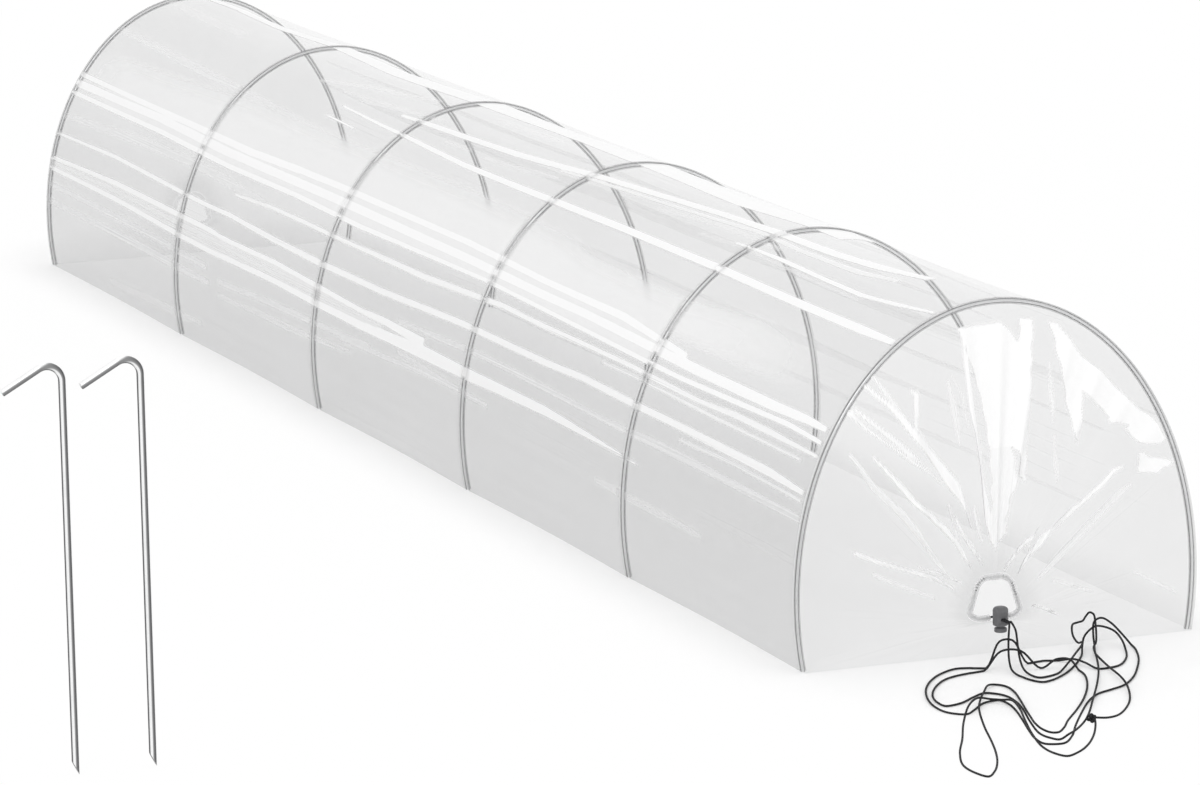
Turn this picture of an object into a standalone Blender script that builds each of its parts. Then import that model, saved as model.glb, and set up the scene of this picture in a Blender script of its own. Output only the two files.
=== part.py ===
"""Row cover tunnel: six wire hoops in a clear film tube whose ends are gathered shut.

Metres, +Z up. X runs across the tunnel and Y along it, with the drawstring end at -Y.
The pegs and the free ends of the drawstring lie on the same ground as the tunnel.
"""
import math

import bmesh
import bpy
import numpy as np

for old_object in list(bpy.data.objects):
    bpy.data.objects.remove(old_object, do_unlink=True)

# Hoops
HOOP_COUNT = 6
HOOP_HALF_WIDTH = 0.250
HOOP_RISE = 0.332
HOOP_CENTRE_HEIGHT = 0.077
WIRE_DIAMETER = 0.005
WIRE_SIDES = 8
ARCH_STEPS = 24

# Spacing along the tunnel: each bay is a little longer than the one in front of it
FIRST_BAY = 0.540
BAY_GROWTH = 0.030

# Film and the channels that are welded into it
FILM_THICKNESS = 0.0005
FILM_SAG = 0.0025
BAY_STEPS = 3
CHANNEL_HALF_WIDTH = 0.008
CHANNEL_WALL = 0.0005
CHANNEL_TAB = 0.0008
CHANNEL_SLACK = 0.0004
CHANNEL_FOOT = 0.001
CHANNEL_FLAT_SHARE = 0.7
TAB_LEVEL_SHARE = 0.6
BORE_FLAT_SHARE = 0.45

# Gathered ends
CORNER_DEPTH = 0.004
MOUTH_OFFSET = -0.012
MOUTH_HALF_WIDTH = 0.031
MOUTH_HEIGHT = 0.047
MOUTH_BOTTOM = 0.0447
MOUTH_FORWARD = 0.008
MOUTH_FORWARD_POWER = 1.5
MOUTH_OUTLINE_SHARES = (
    (0.0, 0.0), (0.76, 0.01), (1.0, 0.14), (0.93, 0.36), (0.80, 0.62), (0.66, 0.85), (0.38, 0.99))
MOUTH_CURVE_STEPS = 12
END_ARCH_COLUMNS = 54
END_GROUND_COLUMNS = 14
COLUMNS_PER_PLEAT = 3
PLEAT_DEPTH = 0.005
PLEAT_POWER = 0.8
GROUND_PLEAT_SHARE = 0.2
END_ROW_SHARES = (0.0, 0.04, 0.26, 0.58, 0.88, 1.0)

# Hem of each end
HEM_DIAMETER = 0.0072
HEM_WALL = 0.0014
HEM_SLIT = 0.0066
HEM_STEPS = 24
HEM_SIDES = 6

# Drawstring
CORD_DIAMETER = 0.0025
CORD_SPREAD = 0.0016
CORD_RISE = 0.0013
CORD_BEVEL_RESOLUTION = 2
CORD_STEPS = 2
TURN_STEPS = 5
STRAND_LEAD = 0.004
STACK_GAP = 0.0007
STACK_SWEEPS = 30
STACK_SAMPLES = 7
STACK_NEIGHBOURS = 4

# Cord lock
LOCK_DIAMETER = 0.018
LOCK_HEAD = 0.0140
LOCK_SKIRT = 0.0077
LOCK_DOME = 0.004
LOCK_CEILING = 0.002
LOCK_BORE = 0.0100
LOCK_HOLE_WIDTH = 0.0066
LOCK_HOLE_HEIGHT = 0.0034
SLOT_STEPS = 6
LOCK_STAND_OFF = 0.0015
LOCK_SLIDE = 0.012
LOCK_RUN_OUT = 0.002
LOCK_SIDES = 20
DOME_STEPS = 4
BUTTON_DIAMETER = 0.0148
BUTTON_HEIGHT = 0.0052
BUTTON_ROUND = 0.0012
BUTTON_TRAVEL = 0.0025
BUTTON_NECK = 0.0028
STEM_CAP = 0.0018
SPRING_WIRE = 0.0005
SPRING_TURNS = 3
SPRING_RADIUS = 0.0032
SPRING_POINTS_PER_TURN = 10
SPRING_BEVEL_RESOLUTION = 1

# Knot that ties the two ends together
KNOT_HALF_LENGTH = 0.008
KNOT_HALF_WIDTH = 0.0055
KNOT_HALF_HEIGHT = 0.0045
KNOT_SEGMENTS = 16
KNOT_RINGS = 8

# Pegs
PEG_WIRE = 0.008
PEG_HEIGHT = 0.453
PEG_BEND_RADIUS = 0.017
PEG_ARM_LENGTH = 0.047
PEG_ARM_DROP_DEGREES = 29.0
PEG_CUT_LENGTH = 0.0155
PEG_SIDES = 10
PEG_BEND_STEPS = 8
PEG_ROW_Y = -0.093
PEG_TO_TUNNEL = 1.046
PEG_SPACING = 0.087

# Clearance between pieces that touch, and the overrun of the cutters
TOUCH_GAP = 0.0003
CUT_OVERRUN = 0.003
SMOOTH_DEGREES = 40.0

# Routes of the two free strands on the ground, in metres from the front hoop's centre line
STRAND_A_POINTS = (
    (-0.0190, -0.0740, 0.0400), (-0.0280, -0.0920, 0.0210), (-0.0340, -0.1130, 0.0050),
    (-0.0320, -0.1370, 0.0015), (-0.0210, -0.1690, 0.0015), (0.0060, -0.1550, 0.0015),
    (0.0380, -0.1220, 0.0015), (0.0750, -0.0690, 0.0015), (0.0960, -0.0320, 0.0130),
    (0.1110, -0.0300, 0.0230), (0.1350, -0.0310, 0.0150), (0.1310, -0.0680, 0.0020),
    (0.0910, -0.1340, 0.0015), (0.0620, -0.1380, 0.0015), (0.0510, -0.0950, 0.0015),
    (0.0220, -0.0770, 0.0015), (-0.0200, -0.0860, 0.0015), (-0.0510, -0.0810, 0.0015),
    (-0.0830, -0.0690, 0.0015), (-0.1310, -0.1070, 0.0015), (-0.1690, -0.1800, 0.0015),
    (-0.1780, -0.2470, 0.0015), (-0.1610, -0.2680, 0.0015), (-0.1240, -0.2310, 0.0015),
    (-0.1010, -0.2250, 0.0015), (-0.1040, -0.2740, 0.0015), (-0.1300, -0.3650, 0.0015),
    (-0.1390, -0.4240, 0.0015), (-0.1190, -0.4310, 0.0015), (-0.0750, -0.3670, 0.0015),
    (-0.0180, -0.2780, 0.0015), (0.0130, -0.2440, 0.0015), (0.0540, -0.2220, 0.0015),
    (0.1000, -0.1610, 0.0015), (0.1470, -0.0490, 0.0020), (0.1300, -0.0310, 0.0180),
    (0.1090, -0.0310, 0.0180), (0.1040, -0.0420, 0.0040), (0.0840, -0.0910, 0.0015),
    (0.0630, -0.1960, 0.0015), (0.0350, -0.2770, 0.0015), (-0.0080, -0.3400, 0.0015),
    (-0.0300, -0.3540, 0.0030))
STRAND_B_POINTS = (
    (-0.0110, -0.0750, 0.0400), (-0.0170, -0.0950, 0.0210), (-0.0210, -0.1180, 0.0050),
    (-0.0160, -0.1480, 0.0015), (0.0140, -0.1370, 0.0015), (0.0550, -0.0950, 0.0015),
    (0.0860, -0.0470, 0.0020), (0.0820, -0.0320, 0.0140), (0.0820, -0.0300, 0.0280),
    (0.0970, -0.0300, 0.0280), (0.1080, -0.0330, 0.0110), (0.0910, -0.0670, 0.0015),
    (0.0610, -0.1420, 0.0015), (-0.0050, -0.2670, 0.0015), (-0.0870, -0.3940, 0.0015),
    (-0.1160, -0.4140, 0.0015), (-0.1250, -0.3840, 0.0015), (-0.0950, -0.2740, 0.0015),
    (-0.0860, -0.2110, 0.0015), (-0.1020, -0.1880, 0.0015), (-0.1420, -0.2170, 0.0015),
    (-0.1660, -0.2240, 0.0015), (-0.1600, -0.1750, 0.0015), (-0.1160, -0.1110, 0.0015),
    (-0.0780, -0.0950, 0.0015), (-0.0380, -0.0920, 0.0015), (0.0050, -0.1080, 0.0015),
    (0.0360, -0.1180, 0.0015), (0.0360, -0.1580, 0.0015), (-0.0110, -0.2550, 0.0015),
    (-0.0730, -0.3430, 0.0015), (-0.1050, -0.3850, 0.0015), (-0.1210, -0.3800, 0.0015),
    (-0.1130, -0.3330, 0.0015), (-0.0790, -0.2310, 0.0015), (-0.0670, -0.1730, 0.0015),
    (-0.0760, -0.1560, 0.0015), (-0.1050, -0.1930, 0.0015), (-0.1450, -0.2670, 0.0015),
    (-0.1860, -0.3880, 0.0015), (-0.2190, -0.4750, 0.0015), (-0.2530, -0.5260, 0.0015),
    (-0.2580, -0.4740, 0.0015), (-0.2110, -0.3670, 0.0015), (-0.1550, -0.2630, 0.0015),
    (-0.1130, -0.2270, 0.0015), (-0.0990, -0.2520, 0.0015), (-0.1220, -0.3360, 0.0015),
    (-0.1480, -0.4380, 0.0015), (-0.1400, -0.4830, 0.0015), (-0.0970, -0.4460, 0.0015),
    (-0.0560, -0.3780, 0.0025))
KNOT_CENTRE = (-0.0490, -0.3540)

# Sizes worked out from the ones above
wire_radius = WIRE_DIAMETER / 2
bore_half_height = wire_radius + TOUCH_GAP
bore_half_width = bore_half_height + CHANNEL_SLACK
pocket_half_height = bore_half_height + CHANNEL_WALL
pocket_half_width = bore_half_width + CHANNEL_WALL
film_level = pocket_half_height * TAB_LEVEL_SHARE
foot_angle = -math.asin(HOOP_CENTRE_HEIGHT / HOOP_RISE)
hoop_positions = [
    FIRST_BAY * index + BAY_GROWTH * index * (index - 1) / 2 for index in range(HOOP_COUNT)]
tunnel_length = hoop_positions[-1]
hem_radius = HEM_DIAMETER / 2
cord_radius = CORD_DIAMETER / 2
end_start = CHANNEL_HALF_WIDTH + TOUCH_GAP + FILM_THICKNESS / 2
mouth_y = -(end_start + CORNER_DEPTH + MOUTH_FORWARD)
strand_turn = HEM_SLIT - CORD_SPREAD
lock_radius = LOCK_DIAMETER / 2
lock_y = mouth_y - strand_turn - LOCK_STAND_OFF - lock_radius
strand_exit_y = lock_y - lock_radius - LOCK_SLIDE - LOCK_RUN_OUT
cord_height = MOUTH_BOTTOM + CORD_RISE


def make_material(name, colour, roughness, metallic=0.0, alpha=1.0):
    """Return a Principled material."""
    material = bpy.data.materials.new(name)
    material.use_nodes = True
    shader = material.node_tree.nodes["Principled BSDF"]
    shader.inputs["Base Color"].default_value = (*colour, 1.0)
    shader.inputs["Roughness"].default_value = roughness
    shader.inputs["Metallic"].default_value = metallic
    shader.inputs["Alpha"].default_value = alpha
    return material


film_material = make_material("clear_film", (0.86, 0.87, 0.88), 0.12, alpha=0.30)
channel_material = make_material("welded_channel", (0.55, 0.55, 0.56), 0.35, alpha=0.65)
wire_material = make_material("galvanised_wire", (0.62, 0.63, 0.64), 0.32, metallic=1.0)
cord_material = make_material("black_cord", (0.015, 0.015, 0.016), 0.75)
lock_material = make_material("lock_plastic", (0.10, 0.10, 0.105), 0.45)
spring_material = make_material("spring_steel", (0.60, 0.60, 0.62), 0.28, metallic=1.0)


def add_object(name, mesh, material, smooth=True):
    """Link a mesh as a named object with its material."""
    mesh.materials.clear()
    mesh.materials.append(material)
    if smooth:
        mesh.shade_smooth()
        mesh.set_sharp_from_angle(angle=math.radians(SMOOTH_DEGREES))
    new_object = bpy.data.objects.new(name, mesh)
    bpy.context.scene.collection.objects.link(new_object)
    return new_object


def mesh_from_faces(name, vertices, faces):
    """Build a closed mesh and turn its faces outward."""
    mesh = bpy.data.meshes.new(name)
    mesh.from_pydata([tuple(vertex) for vertex in vertices], [], faces)
    work = bmesh.new()
    work.from_mesh(mesh)
    bmesh.ops.recalc_face_normals(work, faces=work.faces)
    work.to_mesh(mesh)
    work.free()
    return mesh


def grid_faces(rows, columns, offset, wrap):
    """Quads of a grid of vertices, closed round its columns when wrap is set."""
    faces = []
    spans = columns if wrap else columns - 1
    for row in range(rows - 1):
        for column in range(spans):
            after = (column + 1) % columns
            first = offset + row * columns
            faces.append((first + column, first + after, first + columns + after, first + columns + column))
    return faces


def double_sheet(name, upper, lower, material, wrap):
    """A closed wall between two grids of points, shape (rows, columns, 3)."""
    rows, columns = upper.shape[:2]
    count = rows * columns
    vertices = np.concatenate([upper.reshape(-1, 3), lower.reshape(-1, 3)])
    faces = grid_faces(rows, columns, 0, wrap) + grid_faces(rows, columns, count, wrap)
    spans = columns if wrap else columns - 1
    for row in (0, rows - 1):
        for column in range(spans):
            here = row * columns + column
            after = row * columns + (column + 1) % columns
            faces.append((here, after, count + after, count + here))
    if not wrap:
        for column in (0, columns - 1):
            for row in range(rows - 1):
                here = row * columns + column
                after = here + columns
                faces.append((here, after, count + after, count + here))
    return add_object(name, mesh_from_faces(name, vertices, faces), material)


def solid_sweep(name, rings, material):
    """A solid rod through rings of points, shape (rings, sides, 3), with flat ends."""
    count, sides = rings.shape[:2]
    faces = grid_faces(count, sides, 0, True)
    faces.append(tuple(range(sides)))
    faces.append(tuple(range((count - 1) * sides, count * sides)))
    return add_object(name, mesh_from_faces(name, rings.reshape(-1, 3), faces), material)


def turned(name, profile, sides, centre, material):
    """A solid turned about a vertical line from (radius, height) points; radius 0 ends it on the axis."""
    vertices = []
    rings = []
    for radius, height in profile:
        if radius == 0:
            rings.append([len(vertices)])
            vertices.append((centre[0], centre[1], height))
            continue
        start = len(vertices)
        for side in range(sides):
            angle = math.tau * side / sides
            x = centre[0] + radius * math.cos(angle)
            y = centre[1] + radius * math.sin(angle)
            vertices.append((x, y, height))
        rings.append(list(range(start, start + sides)))
    faces = []
    for first, second in zip(rings, rings[1:]):
        for side in range(sides):
            after = (side + 1) % sides
            if len(first) == 1:
                faces.append((first[0], second[side], second[after]))
            elif len(second) == 1:
                faces.append((first[side], first[after], second[0]))
            else:
                faces.append((first[side], first[after], second[after], second[side]))
    return add_object(name, mesh_from_faces(name, vertices, faces), material)


def cut_through(target, name, outline, centre, depth):
    """Cut a hole along Y through the target, its outline given as (x, z) points about a centre."""
    rings = []
    for side in (-0.5, 0.5):
        rings.append([(centre[0] + x, centre[1] + side * depth, centre[2] + z) for x, z in outline])
    cutter = solid_sweep(target.name + "_cutter", np.array(rings), target.data.materials[0])
    cutter.hide_render = True
    cutter.display_type = "WIRE"
    cut = target.modifiers.new(name, "BOOLEAN")
    cut.operation = "DIFFERENCE"
    cut.solver = "EXACT"
    cut.object = cutter


def slot_outline(width, height):
    """Points of a slot with round ends."""
    half_flat = (width - height) / 2
    outline = []
    for side, start in ((1, -90.0), (-1, 90.0)):
        for step in range(SLOT_STEPS + 1):
            angle = math.radians(start + 180.0 * step / SLOT_STEPS)
            outline.append((side * half_flat + height / 2 * math.cos(angle), height / 2 * math.sin(angle)))
    return outline


def window_outline(width, height):
    """Corners of a square window."""
    across = width / 2
    up = height / 2
    return [(-across, -up), (across, -up), (across, up), (-across, up)]


def arch_point(angle, out):
    """A point in the hoop's plane (x, z) at an ellipse angle, moved out along the normal."""
    x = HOOP_HALF_WIDTH * math.cos(angle)
    z = HOOP_CENTRE_HEIGHT + HOOP_RISE * math.sin(angle)
    normal_x = math.cos(angle) / HOOP_HALF_WIDTH
    normal_z = math.sin(angle) / HOOP_RISE
    length = math.hypot(normal_x, normal_z)
    return x + out * normal_x / length, z + out * normal_z / length


def arch_point_on_level(angle, out, level):
    """As arch_point, slid along the foot's tangent to a given height."""
    x, z = arch_point(angle, out)
    tangent_x = -HOOP_HALF_WIDTH * math.sin(angle)
    tangent_z = HOOP_RISE * math.cos(angle)
    return x + tangent_x * (level - z) / tangent_z, level


def arch_rings(y_position, outline, level):
    """Rings of an outline of (along, out) points swept over the arch, with feet cut flat at a level."""
    rings = []
    for step in range(ARCH_STEPS + 1):
        angle = foot_angle + (math.pi - 2 * foot_angle) * step / ARCH_STEPS
        ring = []
        for along, out in outline:
            if step in (0, ARCH_STEPS):
                x, z = arch_point_on_level(angle, out, level)
            else:
                x, z = arch_point(angle, out)
            ring.append((x, y_position + along, z))
        rings.append(ring)
    return np.array(rings)


def circle_outline(radius, sides):
    """Points round a circle, turned half a side so that flats face the axes."""
    angles = [math.tau * (side + 0.5) / sides for side in range(sides)]
    return [(radius * math.cos(angle), radius * math.sin(angle)) for angle in angles]


def make_hoop(number, y_position):
    """One wire hoop whose feet stand flat on the ground."""
    rings = arch_rings(y_position, circle_outline(wire_radius, WIRE_SIDES), 0)
    return solid_sweep("hoop_%d" % number, rings, wire_material)


def make_channel(number, y_position):
    """The film channel that holds one hoop: a flat pocket with a welded tab on each side."""
    flat = pocket_half_width * CHANNEL_FLAT_SHARE
    low_tab = film_level - CHANNEL_TAB / 2
    high_tab = film_level + CHANNEL_TAB / 2
    outer = [
        (flat, -pocket_half_height), (CHANNEL_HALF_WIDTH, low_tab), (CHANNEL_HALF_WIDTH, high_tab),
        (flat, pocket_half_height), (-flat, pocket_half_height), (-CHANNEL_HALF_WIDTH, high_tab),
        (-CHANNEL_HALF_WIDTH, low_tab), (-flat, -pocket_half_height)]
    bore_flat = bore_half_width * BORE_FLAT_SHARE
    bore_side = bore_half_height * BORE_FLAT_SHARE
    inner = [
        (bore_flat, -bore_half_height), (bore_half_width, -bore_side), (bore_half_width, bore_side),
        (bore_flat, bore_half_height), (-bore_flat, bore_half_height), (-bore_half_width, bore_side),
        (-bore_half_width, -bore_side), (-bore_flat, -bore_half_height)]
    outer_rings = arch_rings(y_position, outer, CHANNEL_FOOT)
    inner_rings = arch_rings(y_position, inner, CHANNEL_FOOT)
    return double_sheet("film_channel_%d" % number, outer_rings, inner_rings, channel_material, True)


def make_bay(number, y_start, y_end):
    """The film between two channels, drawn in a little between the hoops."""
    grids = []
    for side in (0.5, -0.5):
        columns = []
        for step in range(BAY_STEPS + 1):
            share = step / BAY_STEPS
            along = y_start + (y_end - y_start) * share
            out = film_level + side * FILM_THICKNESS - FILM_SAG * math.sin(math.pi * share)
            columns.append(arch_rings(0, [(along, out)], 0)[:, 0])
        grids.append(np.stack(columns, axis=1))
    return double_sheet("film_bay_%d" % number, grids[0], grids[1], film_material, False)


def smooth_curve(points, steps, closed):
    """Points of a centripetal Catmull-Rom curve through the given points."""
    points = np.array(points, dtype=float)
    count = len(points)
    if closed:
        padded = np.concatenate([points[-1:], points, points[:2]])
        spans = count
    else:
        first = 2 * points[0] - points[1]
        last = 2 * points[-1] - points[-2]
        padded = np.concatenate([[first], points, [last]])
        spans = count - 1
    result = []
    for span in range(spans):
        a, b, c, d = padded[span:span + 4]
        t0 = 0.0
        t1 = t0 + np.linalg.norm(b - a) ** 0.5
        t2 = t1 + np.linalg.norm(c - b) ** 0.5
        t3 = t2 + np.linalg.norm(d - c) ** 0.5
        for step in range(steps):
            t = t1 + (t2 - t1) * step / steps
            ab = (t1 - t) / (t1 - t0) * a + (t - t0) / (t1 - t0) * b
            bc = (t2 - t) / (t2 - t1) * b + (t - t1) / (t2 - t1) * c
            cd = (t3 - t) / (t3 - t2) * c + (t - t2) / (t3 - t2) * d
            abc = (t2 - t) / (t2 - t0) * ab + (t - t0) / (t2 - t0) * bc
            bcd = (t3 - t) / (t3 - t1) * bc + (t - t1) / (t3 - t1) * cd
            result.append((t2 - t) / (t2 - t1) * abc + (t - t1) / (t2 - t1) * bcd)
    if not closed:
        result.append(points[-1])
    return np.array(result)


def points_along(curve, shares):
    """Points of an open polyline at shares of its length."""
    lengths = np.concatenate([[0.0], np.cumsum(np.linalg.norm(np.diff(curve, axis=0), axis=1))])
    wanted = np.array(shares) * lengths[-1]
    return np.stack([np.interp(wanted, lengths, curve[:, axis]) for axis in range(curve.shape[1])], axis=1)


def mouth_curve(grow):
    """The drawn mouth's outline (x, z) from the bottom centre over the right side, grown outward."""
    right = [(x * MOUTH_HALF_WIDTH, z * MOUTH_HEIGHT) for x, z in MOUTH_OUTLINE_SHARES]
    left = [(-x, z) for x, z in right[:0:-1]]
    curve = smooth_curve(right + [(0.0, MOUTH_HEIGHT)] + left, MOUTH_CURVE_STEPS, True)
    forward = np.roll(curve, -1, axis=0) - np.roll(curve, 1, axis=0)
    normal = np.stack([forward[:, 1], -forward[:, 0]], axis=1)
    normal /= np.linalg.norm(normal, axis=1)[:, None]
    curve = curve + grow * normal + np.array([MOUTH_OFFSET, MOUTH_BOTTOM])
    return np.concatenate([curve, curve[:1]])


def offset_grid(grid, distance):
    """Move a grid, closed round its columns, along its own normals."""
    along_rows = np.gradient(grid, axis=0)
    along_columns = np.roll(grid, -1, axis=1) - np.roll(grid, 1, axis=1)
    normal = np.cross(along_rows, along_columns)
    normal /= np.linalg.norm(normal, axis=2)[:, :, None]
    moved = grid + distance * normal
    moved[:, :, 2] = np.maximum(moved[:, :, 2], 0.0)
    return moved


def make_end(name, y_hoop, facing):
    """The gathered end: film that runs from the end hoop and the ground to the drawn mouth."""
    outer = []
    for step in range(END_ARCH_COLUMNS + 1):
        angle = foot_angle + (math.pi - 2 * foot_angle) * step / END_ARCH_COLUMNS
        if step in (0, END_ARCH_COLUMNS):
            outer.append(arch_point_on_level(angle, film_level, 0))
        else:
            outer.append(arch_point(angle, film_level))
    left_foot = outer[-1][0]
    right_foot = outer[0][0]
    for step in range(1, END_GROUND_COLUMNS):
        outer.append((left_foot + (right_foot - left_foot) * step / END_GROUND_COLUMNS, 0.0))
    outer = np.array(outer)
    columns = len(outer)

    share_of_ground = END_GROUND_COLUMNS / columns
    shares = [(share_of_ground / 2 + index / columns) % 1.0 for index in range(columns)]
    inner = points_along(mouth_curve(hem_radius + TOUCH_GAP + FILM_THICKNESS / 2), shares)

    rows = []
    for share in END_ROW_SHARES:
        corner = CORNER_DEPTH * min(1.0, share / END_ROW_SHARES[1])
        depth = end_start + corner + MOUTH_FORWARD * share ** MOUTH_FORWARD_POWER
        amplitude = PLEAT_DEPTH * math.sin(math.pi * share) ** PLEAT_POWER if 0 < share < 1 else 0.0
        row = []
        for index in range(columns):
            x, z = outer[index] + (inner[index] - outer[index]) * share
            wave = math.cos(math.tau * index / COLUMNS_PER_PLEAT)
            on_ground = index > END_ARCH_COLUMNS or index == 0
            fold = amplitude * wave * (GROUND_PLEAT_SHARE if on_ground else 1.0)
            row.append((x, y_hoop + facing * (depth + fold), z))
        rows.append(row)
    middle = np.array(rows)
    upper = offset_grid(middle, FILM_THICKNESS / 2)
    lower = offset_grid(middle, -FILM_THICKNESS / 2)
    return double_sheet(name, upper, lower, film_material, True)


def hem_path(y_position):
    """The hem's centre line, open by the slit at the bottom of the mouth."""
    curve = mouth_curve(0.0)
    length = np.linalg.norm(np.diff(curve, axis=0), axis=1).sum()
    slit_share = HEM_SLIT / length
    shares = [slit_share + (1 - 2 * slit_share) * step / HEM_STEPS for step in range(HEM_STEPS + 1)]
    flat = points_along(curve, shares)
    return np.stack([flat[:, 0], np.full(len(flat), y_position), flat[:, 1]], axis=1)


def ring_rows(path, radius, sides):
    """Rings of a round section square to a path that lies in a plane of constant y."""
    forward = np.gradient(path, axis=0)
    forward /= np.linalg.norm(forward, axis=1)[:, None]
    side = np.array([0.0, 1.0, 0.0])
    out = np.cross(forward, side)
    rows = []
    for index in range(len(path)):
        row = []
        for along, across in circle_outline(radius, sides):
            row.append(path[index] + along * side + across * out[index])
        rows.append(row)
    return np.array(rows)


def make_hem(name, y_position):
    """The rolled hem round the mouth, a tube with the drawstring's bore."""
    path = hem_path(y_position)
    outer = ring_rows(path, hem_radius, HEM_SIDES)
    inner = ring_rows(path, hem_radius - HEM_WALL, HEM_SIDES)
    return double_sheet(name, outer, inner, channel_material, True)


def add_cord(name, points, diameter, material, resolution):
    """A round cord along a list of points, with filled ends."""
    curve = bpy.data.curves.new(name, "CURVE")
    curve.dimensions = "3D"
    curve.bevel_depth = diameter / 2
    curve.bevel_resolution = resolution
    curve.use_fill_caps = True
    spline = curve.splines.new("POLY")
    spline.points.add(len(points) - 1)
    for index, point in enumerate(points):
        spline.points[index].co = (point[0], point[1], point[2], 1.0)
    curve.materials.append(material)
    new_object = bpy.data.objects.new(name, curve)
    bpy.context.scene.collection.objects.link(new_object)
    return new_object


def quarter_turn(side):
    """The strand's bend from the hem's slit towards the lock, from the hem outward."""
    points = []
    for step in range(TURN_STEPS + 1):
        angle = math.pi / 2 * step / TURN_STEPS
        x = MOUTH_OFFSET + side * (HEM_SLIT - strand_turn * math.sin(angle))
        y = mouth_y - strand_turn * (1 - math.cos(angle))
        z = MOUTH_BOTTOM + CORD_RISE * step / TURN_STEPS
        points.append((x, y, z))
    return points


def strand_exit(side):
    """Where a strand's straight run ends in front of the lock."""
    return (MOUTH_OFFSET + side * CORD_SPREAD, strand_exit_y, cord_height)


def make_drawstring():
    """The drawstring from one strand's exit through the lock, round the hem and back."""
    loop = [tuple(point) for point in hem_path(mouth_y)]
    right = quarter_turn(1)[1:]
    left = quarter_turn(-1)[1:]
    points = [strand_exit(1)] + right[::-1] + loop + left + [strand_exit(-1)]
    return add_cord("drawstring", points, CORD_DIAMETER, cord_material, CORD_BEVEL_RESOLUTION)


def lift_over(routes):
    """Raise each later stretch of cord over the earlier ones that it crosses."""
    apart = CORD_DIAMETER + STACK_GAP
    vertices = np.concatenate(routes)
    owner = np.concatenate([np.full(len(route), index) for index, route in enumerate(routes)])
    starts = np.array([index for index in range(len(vertices) - 1) if owner[index] == owner[index + 1]])
    for sweep in range(STACK_SWEEPS):
        highest = 0.0
        for position, start in enumerate(starts):
            earlier = starts[:position]
            earlier = earlier[(owner[earlier] != owner[start]) | (earlier < start - STACK_NEIGHBOURS)]
            if len(earlier) == 0:
                continue
            low = vertices[earlier]
            span = vertices[earlier + 1] - low
            for sample in range(STACK_SAMPLES + 1):
                share = sample / STACK_SAMPLES
                point = vertices[start] * (1 - share) + vertices[start + 1] * share
                reach = ((point[:2] - low[:, :2]) * span[:, :2]).sum(axis=1) / (span[:, :2] ** 2).sum(axis=1)
                reach = np.clip(reach, 0.0, 1.0)
                near = low + span * reach[:, None]
                distance = np.linalg.norm(point[:2] - near[:, :2], axis=1)
                beneath = distance < apart
                if not beneath.any():
                    continue
                rise = np.sqrt(apart ** 2 - distance[beneath] ** 2)
                lack = (near[beneath, 2] + rise).max() - point[2]
                if lack > 0:
                    vertices[start, 2] += lack
                    vertices[start + 1, 2] += lack
                    highest = max(highest, lack)
        if highest < STACK_GAP / STACK_SWEEPS:
            break
    lifted = []
    for index in range(len(routes)):
        lifted.append(vertices[owner == index])
    return lifted


def knot_side(direction_x, direction_y):
    """A point just outside the knot's surface in a level direction."""
    x = KNOT_CENTRE[0] + direction_x * (KNOT_HALF_WIDTH + TOUCH_GAP)
    y = KNOT_CENTRE[1] + direction_y * (KNOT_HALF_LENGTH + TOUCH_GAP)
    return x, y, KNOT_HALF_HEIGHT


def make_free_strands():
    """The two free strands from the lock over the ground to the knot."""
    routes = []
    plans = ((-1, STRAND_A_POINTS, knot_side(1, 0)), (1, STRAND_B_POINTS, knot_side(0, -1)))
    for side, points, end in plans:
        exit_point = strand_exit(side)
        start = (exit_point[0], exit_point[1] - TOUCH_GAP, exit_point[2])
        lead = (exit_point[0], exit_point[1] - STRAND_LEAD, exit_point[2])
        route = smooth_curve((start, lead) + points + (end,), CORD_STEPS, False)
        route[:, 2] = np.maximum(route[:, 2], cord_radius)
        routes.append(route)
    lifted = lift_over(routes)
    for name, route in zip(("cord_strand_a", "cord_strand_b"), lifted):
        length = np.linalg.norm(np.diff(route, axis=0), axis=1).sum()
        highest = route[:, 2].max()
        print(name, "points", len(route), "length", round(float(length), 3), "top", round(float(highest), 4))
        add_cord(name, route, CORD_DIAMETER, cord_material, CORD_BEVEL_RESOLUTION)


def make_knot():
    """The knot that ties the strands' ends together, a lump a little longer than wide."""
    mesh = bpy.data.meshes.new("cord_knot")
    work = bmesh.new()
    bmesh.ops.create_uvsphere(work, u_segments=KNOT_SEGMENTS, v_segments=KNOT_RINGS, radius=1.0)
    work.to_mesh(mesh)
    work.free()
    for vertex in mesh.vertices:
        vertex.co.x = vertex.co.x * KNOT_HALF_WIDTH + KNOT_CENTRE[0]
        vertex.co.y = vertex.co.y * KNOT_HALF_LENGTH + KNOT_CENTRE[1]
        vertex.co.z = (vertex.co.z + 1.0) * KNOT_HALF_HEIGHT
    return add_object("cord_knot", mesh, cord_material)


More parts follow.
